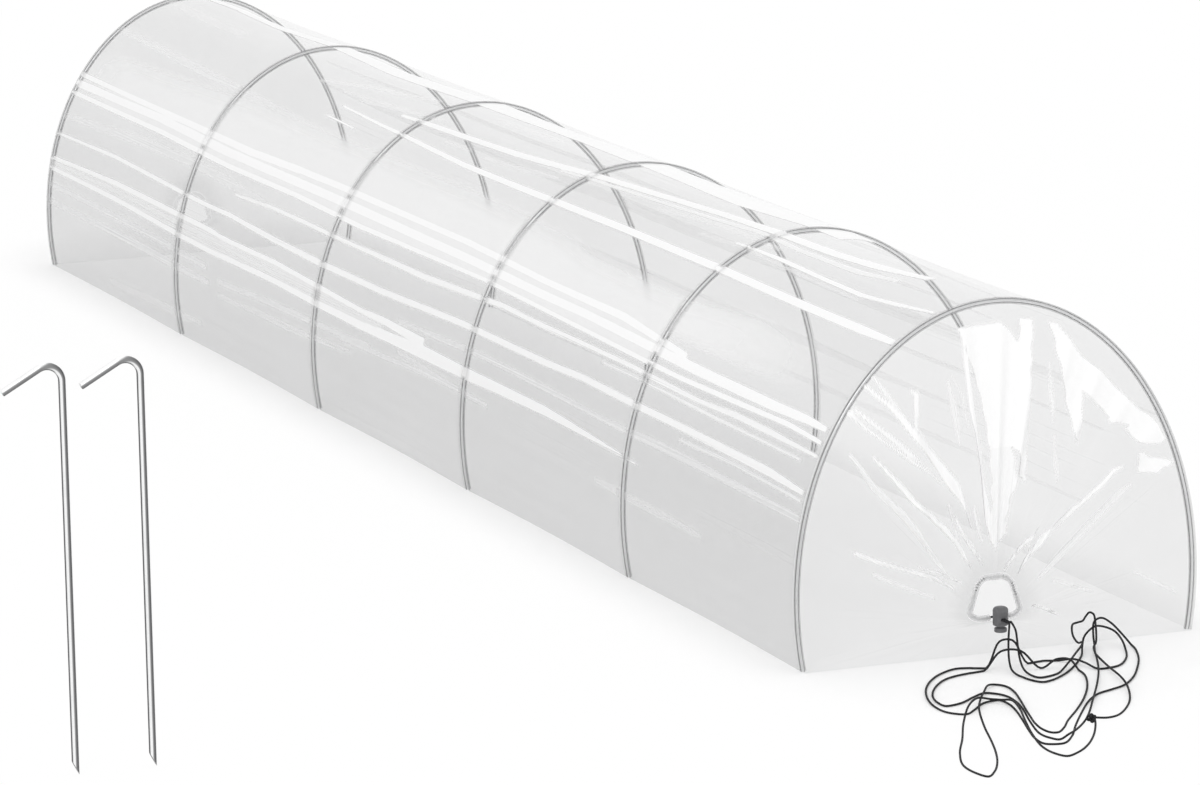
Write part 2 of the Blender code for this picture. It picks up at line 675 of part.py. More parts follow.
def make_lock_body(centre):
    """The lock's barrel: a dome, an open bore below its ceiling, and a cross-hole for the cord."""
    top = cord_height + LOCK_HEAD
    bottom = cord_height - LOCK_SKIRT
    ceiling = top - LOCK_CEILING
    bore_radius = LOCK_BORE / 2
    dome = []
    for step in range(DOME_STEPS + 1):
        angle = math.pi / 2 * step / DOME_STEPS
        radius = (lock_radius - LOCK_DOME) + LOCK_DOME * math.sin(angle)
        dome.append((radius, top - LOCK_DOME + LOCK_DOME * math.cos(angle)))
    inside = [(lock_radius, bottom), (bore_radius, bottom), (bore_radius, ceiling), (0, ceiling)]
    barrel = turned("cord_lock_body", [(0, top)] + dome + inside, LOCK_SIDES, centre, lock_material)
    outline = slot_outline(LOCK_HOLE_WIDTH, LOCK_HOLE_HEIGHT)
    hole_centre = (centre[0], centre[1], cord_height)
    cut_through(barrel, "slot", outline, hole_centre, LOCK_DIAMETER + CUT_OVERRUN)
    return bottom, ceiling


def make_lock_plunger(centre, body_bottom):
    """The plunger: a flanged button on a stem with a window that the cord passes through."""
    stem_radius = LOCK_BORE / 2 - TOUCH_GAP
    flange_top = body_bottom - BUTTON_NECK
    flange_bottom = flange_top - BUTTON_HEIGHT
    window_top = cord_height + cord_radius + TOUCH_GAP
    window_bottom = cord_height - cord_radius - TOUCH_GAP - BUTTON_TRAVEL
    stem_top = window_top + STEM_CAP
    button_radius = BUTTON_DIAMETER / 2
    profile = [
        (0, flange_bottom), (button_radius - BUTTON_ROUND, flange_bottom),
        (button_radius, flange_bottom + BUTTON_ROUND), (button_radius, flange_top - BUTTON_ROUND),
        (button_radius - BUTTON_ROUND, flange_top), (stem_radius, flange_top), (stem_radius, stem_top),
        (0, stem_top)]
    plunger = turned("cord_lock_plunger", profile, LOCK_SIDES, centre, lock_material)
    outline = window_outline(LOCK_HOLE_WIDTH, window_top - window_bottom)
    window_centre = (centre[0], centre[1], (window_top + window_bottom) / 2)
    cut_through(plunger, "window", outline, window_centre, LOCK_BORE + CUT_OVERRUN)
    return stem_top


def make_lock_spring(centre, stem_top, ceiling):
    """The spring between the plunger's stem and the barrel's ceiling."""
    lift = SPRING_WIRE / 2 + TOUCH_GAP
    low = stem_top + lift
    high = ceiling - lift
    count = SPRING_TURNS * SPRING_POINTS_PER_TURN
    coil = []
    for index in range(count + 1):
        angle = math.tau * index / SPRING_POINTS_PER_TURN
        x = centre[0] + SPRING_RADIUS * math.cos(angle)
        y = centre[1] + SPRING_RADIUS * math.sin(angle)
        coil.append((x, y, low + (high - low) * index / count))
    add_cord("cord_lock_spring", coil, SPRING_WIRE, spring_material, SPRING_BEVEL_RESOLUTION)


def make_peg(number, x_position):
    """A wire peg: slanted point, long shank, round bend and an arm that slopes down."""
    radius = PEG_WIRE / 2
    arm_angle = math.radians(90.0 + PEG_ARM_DROP_DEGREES)
    bend_z = PEG_HEIGHT - radius - PEG_BEND_RADIUS
    stations = [((x_position, 0.0), 0.0, True), ((x_position, PEG_CUT_LENGTH), 0.0, False)]
    for step in range(PEG_BEND_STEPS + 1):
        angle = arm_angle * step / PEG_BEND_STEPS
        x = x_position - PEG_BEND_RADIUS * (1 - math.cos(angle))
        z = bend_z + PEG_BEND_RADIUS * math.sin(angle)
        stations.append(((x, z), angle, False))
    end_x = stations[-1][0][0] - PEG_ARM_LENGTH * math.sin(arm_angle)
    end_z = stations[-1][0][1] + PEG_ARM_LENGTH * math.cos(arm_angle)
    stations.append(((end_x, end_z), arm_angle, False))
    rings = []
    for (x, z), angle, is_tip in stations:
        ring = []
        for across, along in circle_outline(radius, PEG_SIDES):
            height = PEG_CUT_LENGTH * (radius - across) / PEG_WIRE if is_tip else 0.0
            top = z + height + across * math.sin(angle)
            ring.append((x + across * math.cos(angle), PEG_ROW_Y + along, top))
        rings.append(ring)
    rings = np.array(rings)
    rings[0, :, 2] -= rings[0, :, 2].min()
    return solid_sweep("peg_%d" % number, rings, wire_material)


def set_on_origin():
    """Move the part so that its box, without the free cord, stands centred on the origin."""
    depsgraph = bpy.context.evaluated_depsgraph_get()
    free_cord = ("cord_strand_a", "cord_strand_b", "cord_knot")
    corners = []
    for item in bpy.data.objects:
        if item.name in free_cord or item.name.endswith("_cutter"):
            continue
        evaluated = item.evaluated_get(depsgraph)
        mesh = evaluated.to_mesh()
        points = np.empty(len(mesh.vertices) * 3)
        mesh.vertices.foreach_get("co", points)
        evaluated.to_mesh_clear()
        points = points.reshape(-1, 3)
        corners.append(points.min(axis=0))
        corners.append(points.max(axis=0))
    corners = np.array(corners)
    middle = (corners.min(axis=0) + corners.max(axis=0)) / 2
    for item in bpy.data.objects:
        item.location = (-middle[0], -middle[1], 0.0)
    print("moved by", round(float(-middle[0]), 6), round(float(-middle[1]), 6))


def make_cover():
    """The hoops, their channels, and the film between them and at both ends."""
    for index, y_position in enumerate(hoop_positions):
        make_hoop(index + 1, y_position)
        make_channel(index + 1, y_position)
    edge = CHANNEL_HALF_WIDTH + TOUCH_GAP
    for index in range(HOOP_COUNT - 1):
        make_bay(index + 1, hoop_positions[index] + edge, hoop_positions[index + 1] - edge)
    make_end("front_end_film", 0.0, -1)
    make_end("back_end_film", tunnel_length, 1)


def make_closure():
    """The hems, the drawstring with its lock, and the strands on the ground."""
    make_hem("front_hem", mouth_y)
    make_hem("back_hem", tunnel_length - mouth_y)
    make_drawstring()
    centre = (MOUTH_OFFSET, lock_y)
    body_bottom, ceiling = make_lock_body(centre)
    stem_top = make_lock_plunger(centre, body_bottom)
    make_lock_spring(centre, stem_top, ceiling)
    make_free_strands()
    make_knot()


make_cover()
make_closure()
make_peg(1, -PEG_TO_TUNNEL - PEG_SPACING)
make_peg(2, -PEG_TO_TUNNEL)
set_on_origin()
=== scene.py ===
# Looks of a row cover tunnel: clear film on six wire hoops, gathered shut at both ends.
# Metres, +Z up. The drawstring end faces -Y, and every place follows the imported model.
import math

import bpy
import numpy as np
from mathutils import Matrix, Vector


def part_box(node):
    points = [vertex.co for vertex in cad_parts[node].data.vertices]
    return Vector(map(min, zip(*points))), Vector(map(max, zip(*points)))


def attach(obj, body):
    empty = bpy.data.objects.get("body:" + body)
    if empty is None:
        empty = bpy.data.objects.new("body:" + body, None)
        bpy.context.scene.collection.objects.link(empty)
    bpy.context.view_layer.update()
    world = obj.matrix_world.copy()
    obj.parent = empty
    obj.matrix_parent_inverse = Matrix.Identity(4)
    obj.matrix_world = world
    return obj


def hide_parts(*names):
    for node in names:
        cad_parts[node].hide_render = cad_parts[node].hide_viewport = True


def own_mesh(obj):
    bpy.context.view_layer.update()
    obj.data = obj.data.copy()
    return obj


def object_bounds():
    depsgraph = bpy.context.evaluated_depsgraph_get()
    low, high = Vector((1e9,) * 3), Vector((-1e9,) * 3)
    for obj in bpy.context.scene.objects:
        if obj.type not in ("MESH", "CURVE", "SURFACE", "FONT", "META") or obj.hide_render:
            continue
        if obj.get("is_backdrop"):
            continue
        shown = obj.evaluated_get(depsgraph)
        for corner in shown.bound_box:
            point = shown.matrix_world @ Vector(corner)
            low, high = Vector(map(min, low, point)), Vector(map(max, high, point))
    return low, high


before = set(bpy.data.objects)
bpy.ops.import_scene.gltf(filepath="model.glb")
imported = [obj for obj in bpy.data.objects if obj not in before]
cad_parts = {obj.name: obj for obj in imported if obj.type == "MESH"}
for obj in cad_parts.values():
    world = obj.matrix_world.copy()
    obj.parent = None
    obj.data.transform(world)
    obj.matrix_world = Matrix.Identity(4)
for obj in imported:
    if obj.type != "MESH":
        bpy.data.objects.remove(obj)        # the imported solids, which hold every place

solidLow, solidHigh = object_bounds()
print("stage 1: packed model is in")

# The front hoop's middle is home: the lists below are laid out from there
frontLow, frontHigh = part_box("hoop_1")
home = np.array([(frontLow.x + frontHigh.x) / 2, (frontLow.y + frontHigh.y) / 2, 0.0])
hoopNumbers = range(1, 7)
hoopLines = [sum(corner.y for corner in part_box("hoop_%d" % number)) / 2 - home[1] for number in hoopNumbers]
hoopBodies = ["tunnel_front"] + ["hoop_frame_%d" % number for number in hoopNumbers[1:]]
sharpFrom = math.radians(40.0)


def easeBetween(low, high, value):
    # 0 below low, 1 above high, and 3t^2 - 2t^3 between them
    t = np.clip((value - low) / (high - low), 0.0, 1.0)
    return t * t * (3.0 - 2.0 * t)


def unit(vectors):
    # each vector divided by its length
    return vectors / np.maximum(np.linalg.norm(vectors, axis=-1, keepdims=True), 1e-12)


def runLengths(line):
    # metres from a line's start to each of its points
    return np.concatenate([[0.0], np.cumsum(np.linalg.norm(np.diff(line, axis=0), axis=1))])


def pointsAlong(line, shares):
    # points of a line at shares of its length
    run = runLengths(line)
    wanted = np.asarray(shares) * run[-1]
    return np.stack([np.interp(wanted, run, line[:, axis]) for axis in range(line.shape[1])], axis=-1)


def smoothLine(points, steps, closed=False):
    # each span is a cubic through its two ends, led by its neighbours; t grows with the root of the distance
    points = np.asarray(points, float)
    lead, trail = 2 * points[:1] - points[1:2], 2 * points[-1:] - points[-2:-1]
    held = np.concatenate([points[-1:], points, points[:2]] if closed else [lead, points, trail])
    a, b, c, d = (held[index:len(held) - 3 + index, None] for index in range(4))
    t1 = np.linalg.norm(b - a, axis=2, keepdims=True) ** 0.5
    t2 = t1 + np.linalg.norm(c - b, axis=2, keepdims=True) ** 0.5
    t3 = t2 + np.linalg.norm(d - c, axis=2, keepdims=True) ** 0.5
    t = t1 + (t2 - t1) * (np.arange(steps) / steps)[None, :, None]
    ab = ((t1 - t) * a + t * b) / t1
    bc = ((t2 - t) * b + (t - t1) * c) / (t2 - t1)
    cd = ((t3 - t) * c + (t - t2) * d) / (t3 - t2)
    abc = ((t2 - t) * ab + t * bc) / t2
    bcd = ((t3 - t) * bc + (t - t1) * cd) / (t3 - t1)
    line = (((t2 - t) * abc + (t - t1) * bcd) / (t2 - t1)).reshape(-1, points.shape[1])
    return line if closed else np.concatenate([line, points[-1:]])


def gridFaces(rows, columns, closed):
    # four neighbours of a rows x columns grid make a face; a closed grid joins its last column to its first
    lastColumn = columns if closed else columns - 1
    row, column = np.meshgrid(np.arange(rows - 1), np.arange(lastColumn), indexing="ij")
    after = (column + 1) % columns
    quads = np.stack([row * columns + column, row * columns + after,
                      (row + 1) * columns + after, (row + 1) * columns + column], axis=-1)
    corners = np.stack([row, column, row, column + 1, row + 1, column + 1, row + 1, column], axis=-1)
    return quads.reshape(-1, 4), corners.reshape(-1, 4, 2)


def putMesh(name, points, faces, finish):
    # a mesh whose place is in its points, on an object at the origin
    mesh = bpy.data.meshes.new(name)
    mesh.from_pydata(points, [], faces)
    mesh.materials.append(finish)
    mesh.shade_smooth()
    mesh.set_sharp_from_angle(angle=sharpFrom)
    piece = bpy.data.objects.new(name, mesh)
    bpy.context.scene.collection.objects.link(piece)
    return piece


def turnOut(points, quads, corners, away):
    # turns all the faces over if they look inwards; away leads from the heart to each face's first corner
    a, b, c = points[quads[:, 0]], points[quads[:, 1]], points[quads[:, 2]]
    outward = np.einsum("ij,ij->", np.cross(b - a, c - b), away) > 0
    return (quads, corners, True) if outward else (quads[:, ::-1], corners[:, ::-1], False)


def layChart(piece, loops):
    # the pattern's two coordinates at each corner of each face
    piece.data.uv_layers.new(name="pattern").data.foreach_set("uv", loops.astype(np.float32).ravel())


def layMarks(piece, marks):
    # a named value for each point
    for key, values in marks.items():
        mark = piece.data.attributes.new(key, "FLOAT", "POINT")
        mark.data.foreach_set("value", np.asarray(values, np.float32).ravel())


def putGrid(name, grid, finish, closed=False, capped=False, chart=None, marks=None, heart=None, wall=0.0):
    # a surface through a grid of points, its faces turned away from its heart; a closed tube can have flat
    # caps, chart and marks hold a value for each point, and wall is the thickness
    rows, columns = grid.shape[:2]
    points = grid.reshape(-1, 3)
    quads, corners = gridFaces(rows, columns, closed)
    heart = points.mean(axis=0) if heart is None else heart
    quads, corners, outward = turnOut(points, quads, corners, points[quads[:, 0]] - heart)
    faces = quads.tolist()
    if capped:
        near, far = list(range(columns)), list(range((rows - 1) * columns, rows * columns))
        faces += [near[::-1], far] if outward else [near, far[::-1]]
    piece = putMesh(name, points, faces, finish)
    if chart is not None:
        loops = chart[corners[..., 0], corners[..., 1]].reshape(-1, 2)
        if capped:
            loops = np.concatenate([loops, np.repeat(chart[[0, -1], 0], columns, axis=0)])
        layChart(piece, loops)
    layMarks(piece, marks or {})
    if wall:
        shell = piece.modifiers.new("wall", "SOLIDIFY")
        shell.thickness = wall
        shell.offset = 0.0
    return piece


def sweepRings(path, radius, sides, sideways=None):
    # rings round a path: point + r cos(a) side + r sin(a) up, where side and up are square to the path
    forward = unit(np.gradient(path, axis=0))
    side = unit(np.cross(forward, (0.0, 0.0, 1.0)))
    if sideways is not None:
        side = np.broadcast_to(sideways, path.shape)
    up = unit(np.cross(side, forward))
    angle = 2.0 * np.pi * (np.arange(sides) + 0.5) / sides
    radius = np.broadcast_to(np.asarray(radius, float).reshape(-1, 1, 1), (len(path), 1, 1))
    wave = np.cos(angle)[None, :, None] * side[:, None] + np.sin(angle)[None, :, None] * up[:, None]
    return path[:, None] + radius * wave


def tubeChart(run, sides):
    # pattern coordinates of a tube: metres along it, and turns round it
    return np.stack(np.meshgrid(run, np.arange(sides + 1) / sides, indexing="ij"), axis=-1)


def stand(thing, right, up, back, place):
    # puts a camera or a lamp in the scene, its back turned on what it looks at
    pose = np.eye(4)
    pose[:3] = np.stack([right, up, back, place], axis=1)
    thing.matrix_world = Matrix(pose.tolist())
    bpy.context.scene.collection.objects.link(thing)


def addNode(tree, kind, sockets=None, **settings):
    # a shader node; each socket gets a number, a colour or another node's output
    made = tree.nodes.new(kind)
    for key, value in settings.items():
        setattr(made, key, value)
    for key, value in (sockets or {}).items():
        if isinstance(value, bpy.types.NodeSocket):
            tree.links.new(value, made.inputs[key])
        else:
            made.inputs[key].default_value = value
    return made


def sums(tree, how, first, second=0.0, clamp=False):
    # one step of arithmetic in a material
    return addNode(tree, "ShaderNodeMath", {0: first, 1: second}, operation=how, use_clamp=clamp).outputs[0]


def plus(tree, first, second, clamp=False):
    # first + second in a material
    return sums(tree, "ADD", first, second, clamp)


def times(tree, first, second, clamp=False):
    # first x second in a material
    return sums(tree, "MULTIPLY", first, second, clamp)


def most(tree, first, second, clamp=False):
    # the larger of two values in a material
    return sums(tree, "MAXIMUM", first, second, clamp)


def markOf(tree, name):
    # a mesh's named value in a material
    return addNode(tree, "ShaderNodeAttribute", attribute_name=name).outputs["Fac"]


def chartOf(tree):
    # a mesh's pattern coordinates in a material
    return addNode(tree, "ShaderNodeUVMap", uv_map="pattern").outputs[0]


def placeOf(tree):
    # a point's place in a material
    return addNode(tree, "ShaderNodeTexCoord").outputs["Object"]


def easeNode(tree, value, low, high, outLow=0.0, outHigh=1.0):
    # outLow below low, outHigh above high, and an S curve between
    sockets = {"Value": value, "From Min": low, "From Max": high, "To Min": outLow, "To Max": outHigh}
    return addNode(tree, "ShaderNodeMapRange", sockets, interpolation_type="SMOOTHSTEP").outputs["Result"]


def drawnNoise(tree, where, scale, detail=3.0, roughness=0.55, shift=(0.0, 0.0, 0.0)):
    # noise that is drawn out along the axes whose scale is small
    spread = addNode(tree, "ShaderNodeMapping", {"Vector": where, "Location": shift, "Scale": scale})
    sockets = {"Vector": spread.outputs[0], "Scale": 1.0, "Detail": detail, "Roughness": roughness}
    return addNode(tree, "ShaderNodeTexNoise", sockets).outputs["Fac"]


def blendColour(tree, share, low, high):
    # low at share 0 and high at share 1
    made = addNode(tree, "ShaderNodeMix", {0: share}, data_type="RGBA")
    for index, value in ((6, low), (7, high)):
        if isinstance(value, bpy.types.NodeSocket):
            tree.links.new(value, made.inputs[index])
        else:
            made.inputs[index].default_value = (*value, 1.0)
    return made.outputs[2]


def newFinish(name, **constants):
    # a Principled material; what is the same all over is set on the shader's own sockets
    finish = bpy.data.materials.new(name)
    finish.use_nodes = True
    shader = finish.node_tree.nodes["Principled BSDF"]
    for key, value in constants.items():
        shader.inputs[key.replace("_", " ")].default_value = value
    return finish, finish.node_tree, shader


def feed(tree, shader, **sources):
    # links outputs to the shader's sockets by name
    for key, source in sources.items():
        tree.links.new(source, shader.inputs[key.replace("_", " ")])


def bumpFrom(tree, height, distance, strength=1.0):
    # a raised surface from a height between 0 and 1, in metres
    sockets = {"Strength": strength, "Distance": distance, "Height": height}
    return addNode(tree, "ShaderNodeBump", sockets).outputs[0]


# Camera at the photograph's place
view = {"place": (-2.9773, -6.4757, 1.7069), "turn": 21.055, "down": 11.101, "tilt": -1.095,
        "lens": 190.176, "sensor": 36.0, "reach": 100.0}
turn, down, tilt = (math.radians(view[key]) for key in ("turn", "down", "tilt"))
ahead = np.array([math.sin(turn) * math.cos(down), math.cos(turn) * math.cos(down), -math.sin(down)])
level = np.array([math.cos(turn), -math.sin(turn), 0.0])
above = np.cross(level, ahead)
across = math.cos(tilt) * level + math.sin(tilt) * above
upward = math.cos(tilt) * above - math.sin(tilt) * level
lens = bpy.data.cameras.new("photoCamera")
lens.lens = view["lens"]
lens.sensor_width = view["sensor"]
lens.clip_end = view["reach"]
camera = bpy.data.objects.new("photoCamera", lens)
stand(camera, across, upward, -ahead, home + view["place"])
bpy.context.scene.camera = camera
print("stage 2: camera stands")

# Black braided drawstring
braid = {"colour": (0.010, 0.010, 0.011), "worn": (0.036, 0.036, 0.038), "pitch": 0.0034, "carriers": 4.0,
         "fuzz": (900.0, 6.0, 1.0), "rough": (0.3, 0.8, 0.62, 0.85), "fuzzHeight": 0.4, "relief": 0.00016,
         "lay": (-0.2, 1.0)}
blackBraid, tree, shader = newFinish("blackBraid", Roughness=0.72, Specular_IOR_Level=0.25)
chart = chartOf(tree)
parts = addNode(tree, "ShaderNodeSeparateXYZ", {0: chart}).outputs
alongTurns = times(tree, parts[0], 2 * math.pi / braid["pitch"])
roundTurns = times(tree, parts[1], 2 * math.pi * braid["carriers"])
leftLay = sums(tree, "SINE", plus(tree, alongTurns, roundTurns))
rightLay = sums(tree, "SINE", sums(tree, "SUBTRACT", alongTurns, roundTurns))
strandHeight = easeNode(tree, most(tree, leftLay, rightLay), *braid["lay"])
fuzz = drawnNoise(tree, chart, braid["fuzz"], detail=4.0)
braidShare = times(tree, strandHeight, fuzz)
braidHeight = plus(tree, strandHeight, times(tree, fuzz, braid["fuzzHeight"]))
feed(tree, shader, Base_Color=blendColour(tree, braidShare, braid["colour"], braid["worn"]),
     Roughness=easeNode(tree, fuzz, *braid["rough"]), Normal=bumpFrom(tree, braidHeight, braid["relief"]))

# The two free strands: places in tenths of a millimetre from home, from the lock to the knot. A place without
# a height lies on the ground
placesA = (
    (-136, -594, 460), (-135, -611, 461), (-136, -631, 460), (-158, -681, 439), (-190, -740, 400),
    (-236, -826, 311), (-280, -920, 210), (-317, -1020, 120), (-340, -1130, 50), (-339, -1246, 23),
    (-320, -1370), (-282, -1558, 12), (-210, -1690), (-85, -1654), (60, -1550), (221, -1403), (380, -1220),
    (574, -959, 12), (750, -690), (859, -475, 63), (960, -320, 130), (1031, -298, 188), (1110, -300, 230),
    (1241, -287, 205), (1350, -310, 150), (1366, -465, 81), (1310, -680, 20), (1141, -1046, 12),
    (910, -1340), (756, -1399), (620, -1380), (563, -1183, 45), (510, -950, 45), (381, -833), (220, -770),
    (12, -806), (-200, -860, 318), (-358, -846, 318), (-510, -810), (-668, -733), (-830, -690),
    (-1075, -827), (-1310, -1070), (-1530, -1415), (-1690, -1800), (-1778, -2160), (-1780, -2470),
    (-1711, -2610), (-1610, -2680), (-1433, -2522), (-1240, -2310), (-1111, -2250), (-1010, -2250),
    (-990, -2444), (-1040, -2740), (-1164, -3190), (-1300, -3650), (-1385, -3989), (-1390, -4240),
    (-1303, -4305), (-1190, -4310), (-977, -4061), (-750, -3670), (-461, -3206), (-180, -2780),
    (-28, -2590), (130, -2440), (332, -2336), (540, -2220), (779, -1953), (1000, -1610), (1311, -1011, 12),
    (1470, -490, 20), (1407, -372, 132), (1300, -310, 257), (1189, -294, 320), (1090, -310, 288),
    (1059, -350, 148), (1040, -420, 40), (946, -628, 12), (840, -910, 41), (736, -1419, 38),
    (630, -1960, 47), (507, -2382, 47), (350, -2770), (141, -3124, 13), (-80, -3400), (-194, -3491, 21),
    (-300, -3540, 30), (-367, -3545, 37), (-432, -3540, 45),
)
placesB = (
    (-104, -594, 468), (-104, -611, 472), (-104, -631, 463), (-105, -685, 439), (-110, -750, 400),
    (-137, -846, 311), (-170, -950, 210), (-197, -1060, 120), (-210, -1180, 50), (-206, -1351, 22),
    (-160, -1480), (-26, -1462, 13), (140, -1370), (351, -1184, 76), (550, -950, 111), (741, -696, 123),
    (860, -470, 105), (848, -380, 80), (820, -320, 140), (809, -303, 216), (820, -300, 280),
    (889, -297, 298), (950, -300, 312), (988, -301, 362), (1034, -303, 402), (1080, -312, 380),
    (1086, -345, 310), (1040, -469, 105), (910, -670, 83), (775, -1015, 75), (610, -1420, 38),
    (307, -2028, 45), (-50, -2670, 45), (-470, -3379), (-870, -3940, 47), (-1032, -4090, 47),
    (-1160, -4140), (-1227, -4032), (-1250, -3840), (-1126, -3315), (-950, -2740), (-873, -2393),
    (-860, -2110), (-921, -1962), (-1020, -1880), (-1211, -1997), (-1420, -2170), (-1557, -2234),
    (-1660, -2240), (-1675, -2039), (-1600, -1750), (-1411, -1401), (-1160, -1110), (-975, -1006),
    (-780, -950), (-582, -916), (-380, -920, 219), (-161, -990, 219), (50, -1080), (226, -1117, 109),
    (360, -1180, 109), (396, -1352), (360, -1580), (171, -2046), (-110, -2550), (-423, -3016),
    (-730, -3430), (-899, -3691), (-1050, -3850), (-1141, -3849, 27), (-1210, -3800, 57),
    (-1205, -3606, 77), (-1130, -3330, 77), (-964, -2826, 48), (-790, -2310, 18), (-701, -1988),
    (-670, -1730), (-703, -1618), (-760, -1560), (-893, -1687, 46), (-1050, -1930, 46), (-1253, -2269, 47),
    (-1450, -2670, 47), (-1662, -3267), (-1860, -3880), (-2020, -4341), (-2190, -4750), (-2375, -5086),
    (-2530, -5260), (-2589, -5069), (-2580, -4740), (-2391, -4225), (-2110, -3670), (-1839, -3110, 47),
    (-1550, -2630, 107), (-1325, -2381, 105), (-1130, -2270, 45), (-1039, -2358, 47), (-990, -2520, 74),
    (-1067, -2903, 73), (-1220, -3360, 73), (-1378, -3889, 47), (-1480, -4380, 21), (-1471, -4662),
    (-1400, -4830), (-1203, -4714), (-970, -4460), (-736, -4107, 17), (-560, -3780, 25), (-520, -3695, 34),
    (-490, -3623, 45),
)
cord = {"diameter": 0.0025, "steps": 6, "sides": 12, "lying": 15, "unit": 1e-4}


def layStrand(name, places, node):
    # a round tube through the route's places, its middle never lower than half its thickness
    route = [place if len(place) == 3 else (*place, cord["lying"]) for place in places]
    line = smoothLine(np.array(route, float) * cord["unit"], cord["steps"])
    line[:, 2] = np.maximum(line[:, 2], cord["diameter"] / 2)
    line += home
    rings = sweepRings(line, cord["diameter"] / 2, cord["sides"])
    chart = tubeChart(runLengths(line), cord["sides"])
    piece = putGrid(name, rings, blackBraid, closed=True, capped=True, chart=chart)
    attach(piece, "tunnel_front")
    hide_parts(node)
    return piece, line


strandA, lineA = layStrand("strandA", placesA, "cord_strand_a")
strandB, lineB = layStrand("strandB", placesB, "cord_strand_b")

# Overhand knot of both ends: a trefoil line in the knot's room, x = sin t + 2 sin 2t, y = cos t - 2 cos 2t
# and z = -sin 3t, each divided by its reach
knot = {"points": 145, "reachX": 2.7, "reachY": 2.9, "thin": 0.62}
knotLow, knotHigh = (np.array(corner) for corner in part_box("cord_knot"))
knotMiddle, knotHalf = (knotLow + knotHigh) / 2, (knotHigh - knotLow) / 2
turnOf = np.linspace(0.0, 2 * np.pi, knot["points"])
trefoilX = (np.sin(turnOf) + 2 * np.sin(2 * turnOf)) / knot["reachX"]
trefoilY = (np.cos(turnOf) - 2 * np.cos(2 * turnOf)) / knot["reachY"]
trefoil = np.stack([trefoilX, trefoilY, -np.sin(3 * turnOf)], axis=1)
knotLine = knotMiddle + trefoil * (knotHalf - cord["diameter"] * knot["thin"])
knotRings = sweepRings(knotLine, cord["diameter"] * knot["thin"], cord["sides"])
knotRings[-1] = knotRings[0]
chart = tubeChart(runLengths(knotLine), cord["sides"])
strandKnot = putGrid("strandKnot", knotRings, blackBraid, closed=True, chart=chart)
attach(strandKnot, "tunnel_front")
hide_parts("cord_knot")
print("stage 3: strands lie, %.2f m and %.2f m" % (runLengths(lineA)[-1], runLengths(lineB)[-1]))

# The arch that every hoop follows: x = width cos t, z = middle + rise sin t, cut off at the ground
arch = {"width": 0.250, "rise": 0.332, "middle": 0.077, "points": 3001}
footTurn = -math.asin(arch["middle"] / arch["rise"])
fineTurn = np.linspace(footTurn, math.pi - footTurn, arch["points"])
fineArc = runLengths(np.stack([arch["width"] * np.cos(fineTurn), arch["rise"] * np.sin(fineTurn)], axis=1))
girth = float(fineArc[-1])


def archPlace(turnAt, out):
    # x and z at an angle of the arch, moved out along its normal
    x, z = arch["width"] * np.cos(turnAt), arch["middle"] + arch["rise"] * np.sin(turnAt)
    normalX, normalZ = np.cos(turnAt) / arch["width"], np.sin(turnAt) / arch["rise"]
    size = np.hypot(normalX, normalZ)
    return x + out * normalX / size, z + out * normalZ / size


def archGrid(run, y, out):
    # points for arrays of arc length from the right foot, y along the tunnel and height off the wire's middle
    x, z = archPlace(np.interp(run, fineArc, fineTurn), out)
    return np.stack([x, y + np.zeros_like(x), z], axis=-1) + home


# Zinc-coated wire: drawn lines along it, dull spangle, darker where it has weathered, and painted shade where
# the shade mark is
zinc = {"bright": (0.97, 0.972, 0.975), "dull": (0.84, 0.845, 0.85), "dark": (0.040, 0.040, 0.042),
        "drawn": (22.0, 26.0, 1.0), "spangle": 420.0, "weather": (31.0, 31.0, 31.0),
        "patchy": (0.45, 0.75, 0.0, 0.5), "flecks": 0.3, "metal": (0.0, 0.45, 1.0, 0.0),
        "rough": (0.3, 0.7, 0.22, 0.34), "dullRough": 0.12, "fleckHeight": 0.5, "relief": 0.00008}
zincWire, tree, shader = newFinish("zincWire", Specular_IOR_Level=0.15)
chart = chartOf(tree)
where = placeOf(tree)
drawn = drawnNoise(tree, chart, zinc["drawn"], detail=5.0)
cells = addNode(tree, "ShaderNodeTexVoronoi", {"Vector": where, "Scale": zinc["spangle"]})
spangle = cells.outputs["Distance"]
weather = drawnNoise(tree, where, zinc["weather"], detail=4.0, shift=(3.1, 0.4, 7.7))
flecks = times(tree, spangle, zinc["flecks"])
dullShare = plus(tree, easeNode(tree, weather, *zinc["patchy"]), flecks)
# shade is painted shade: where it is full, the coat turns dark and stops being metal
shade = markOf(tree, "shade")
coat = blendColour(tree, dullShare, zinc["bright"], zinc["dull"])
drawnRough = easeNode(tree, drawn, *zinc["rough"])
relief = plus(tree, drawn, times(tree, spangle, zinc["fleckHeight"]))
feed(tree, shader, Base_Color=blendColour(tree, shade, coat, zinc["dark"]),
     Metallic=easeNode(tree, shade, *zinc["metal"]),
     Roughness=plus(tree, drawnRough, times(tree, dullShare, zinc["dullRough"])),
     Normal=bumpFrom(tree, relief, zinc["relief"]))
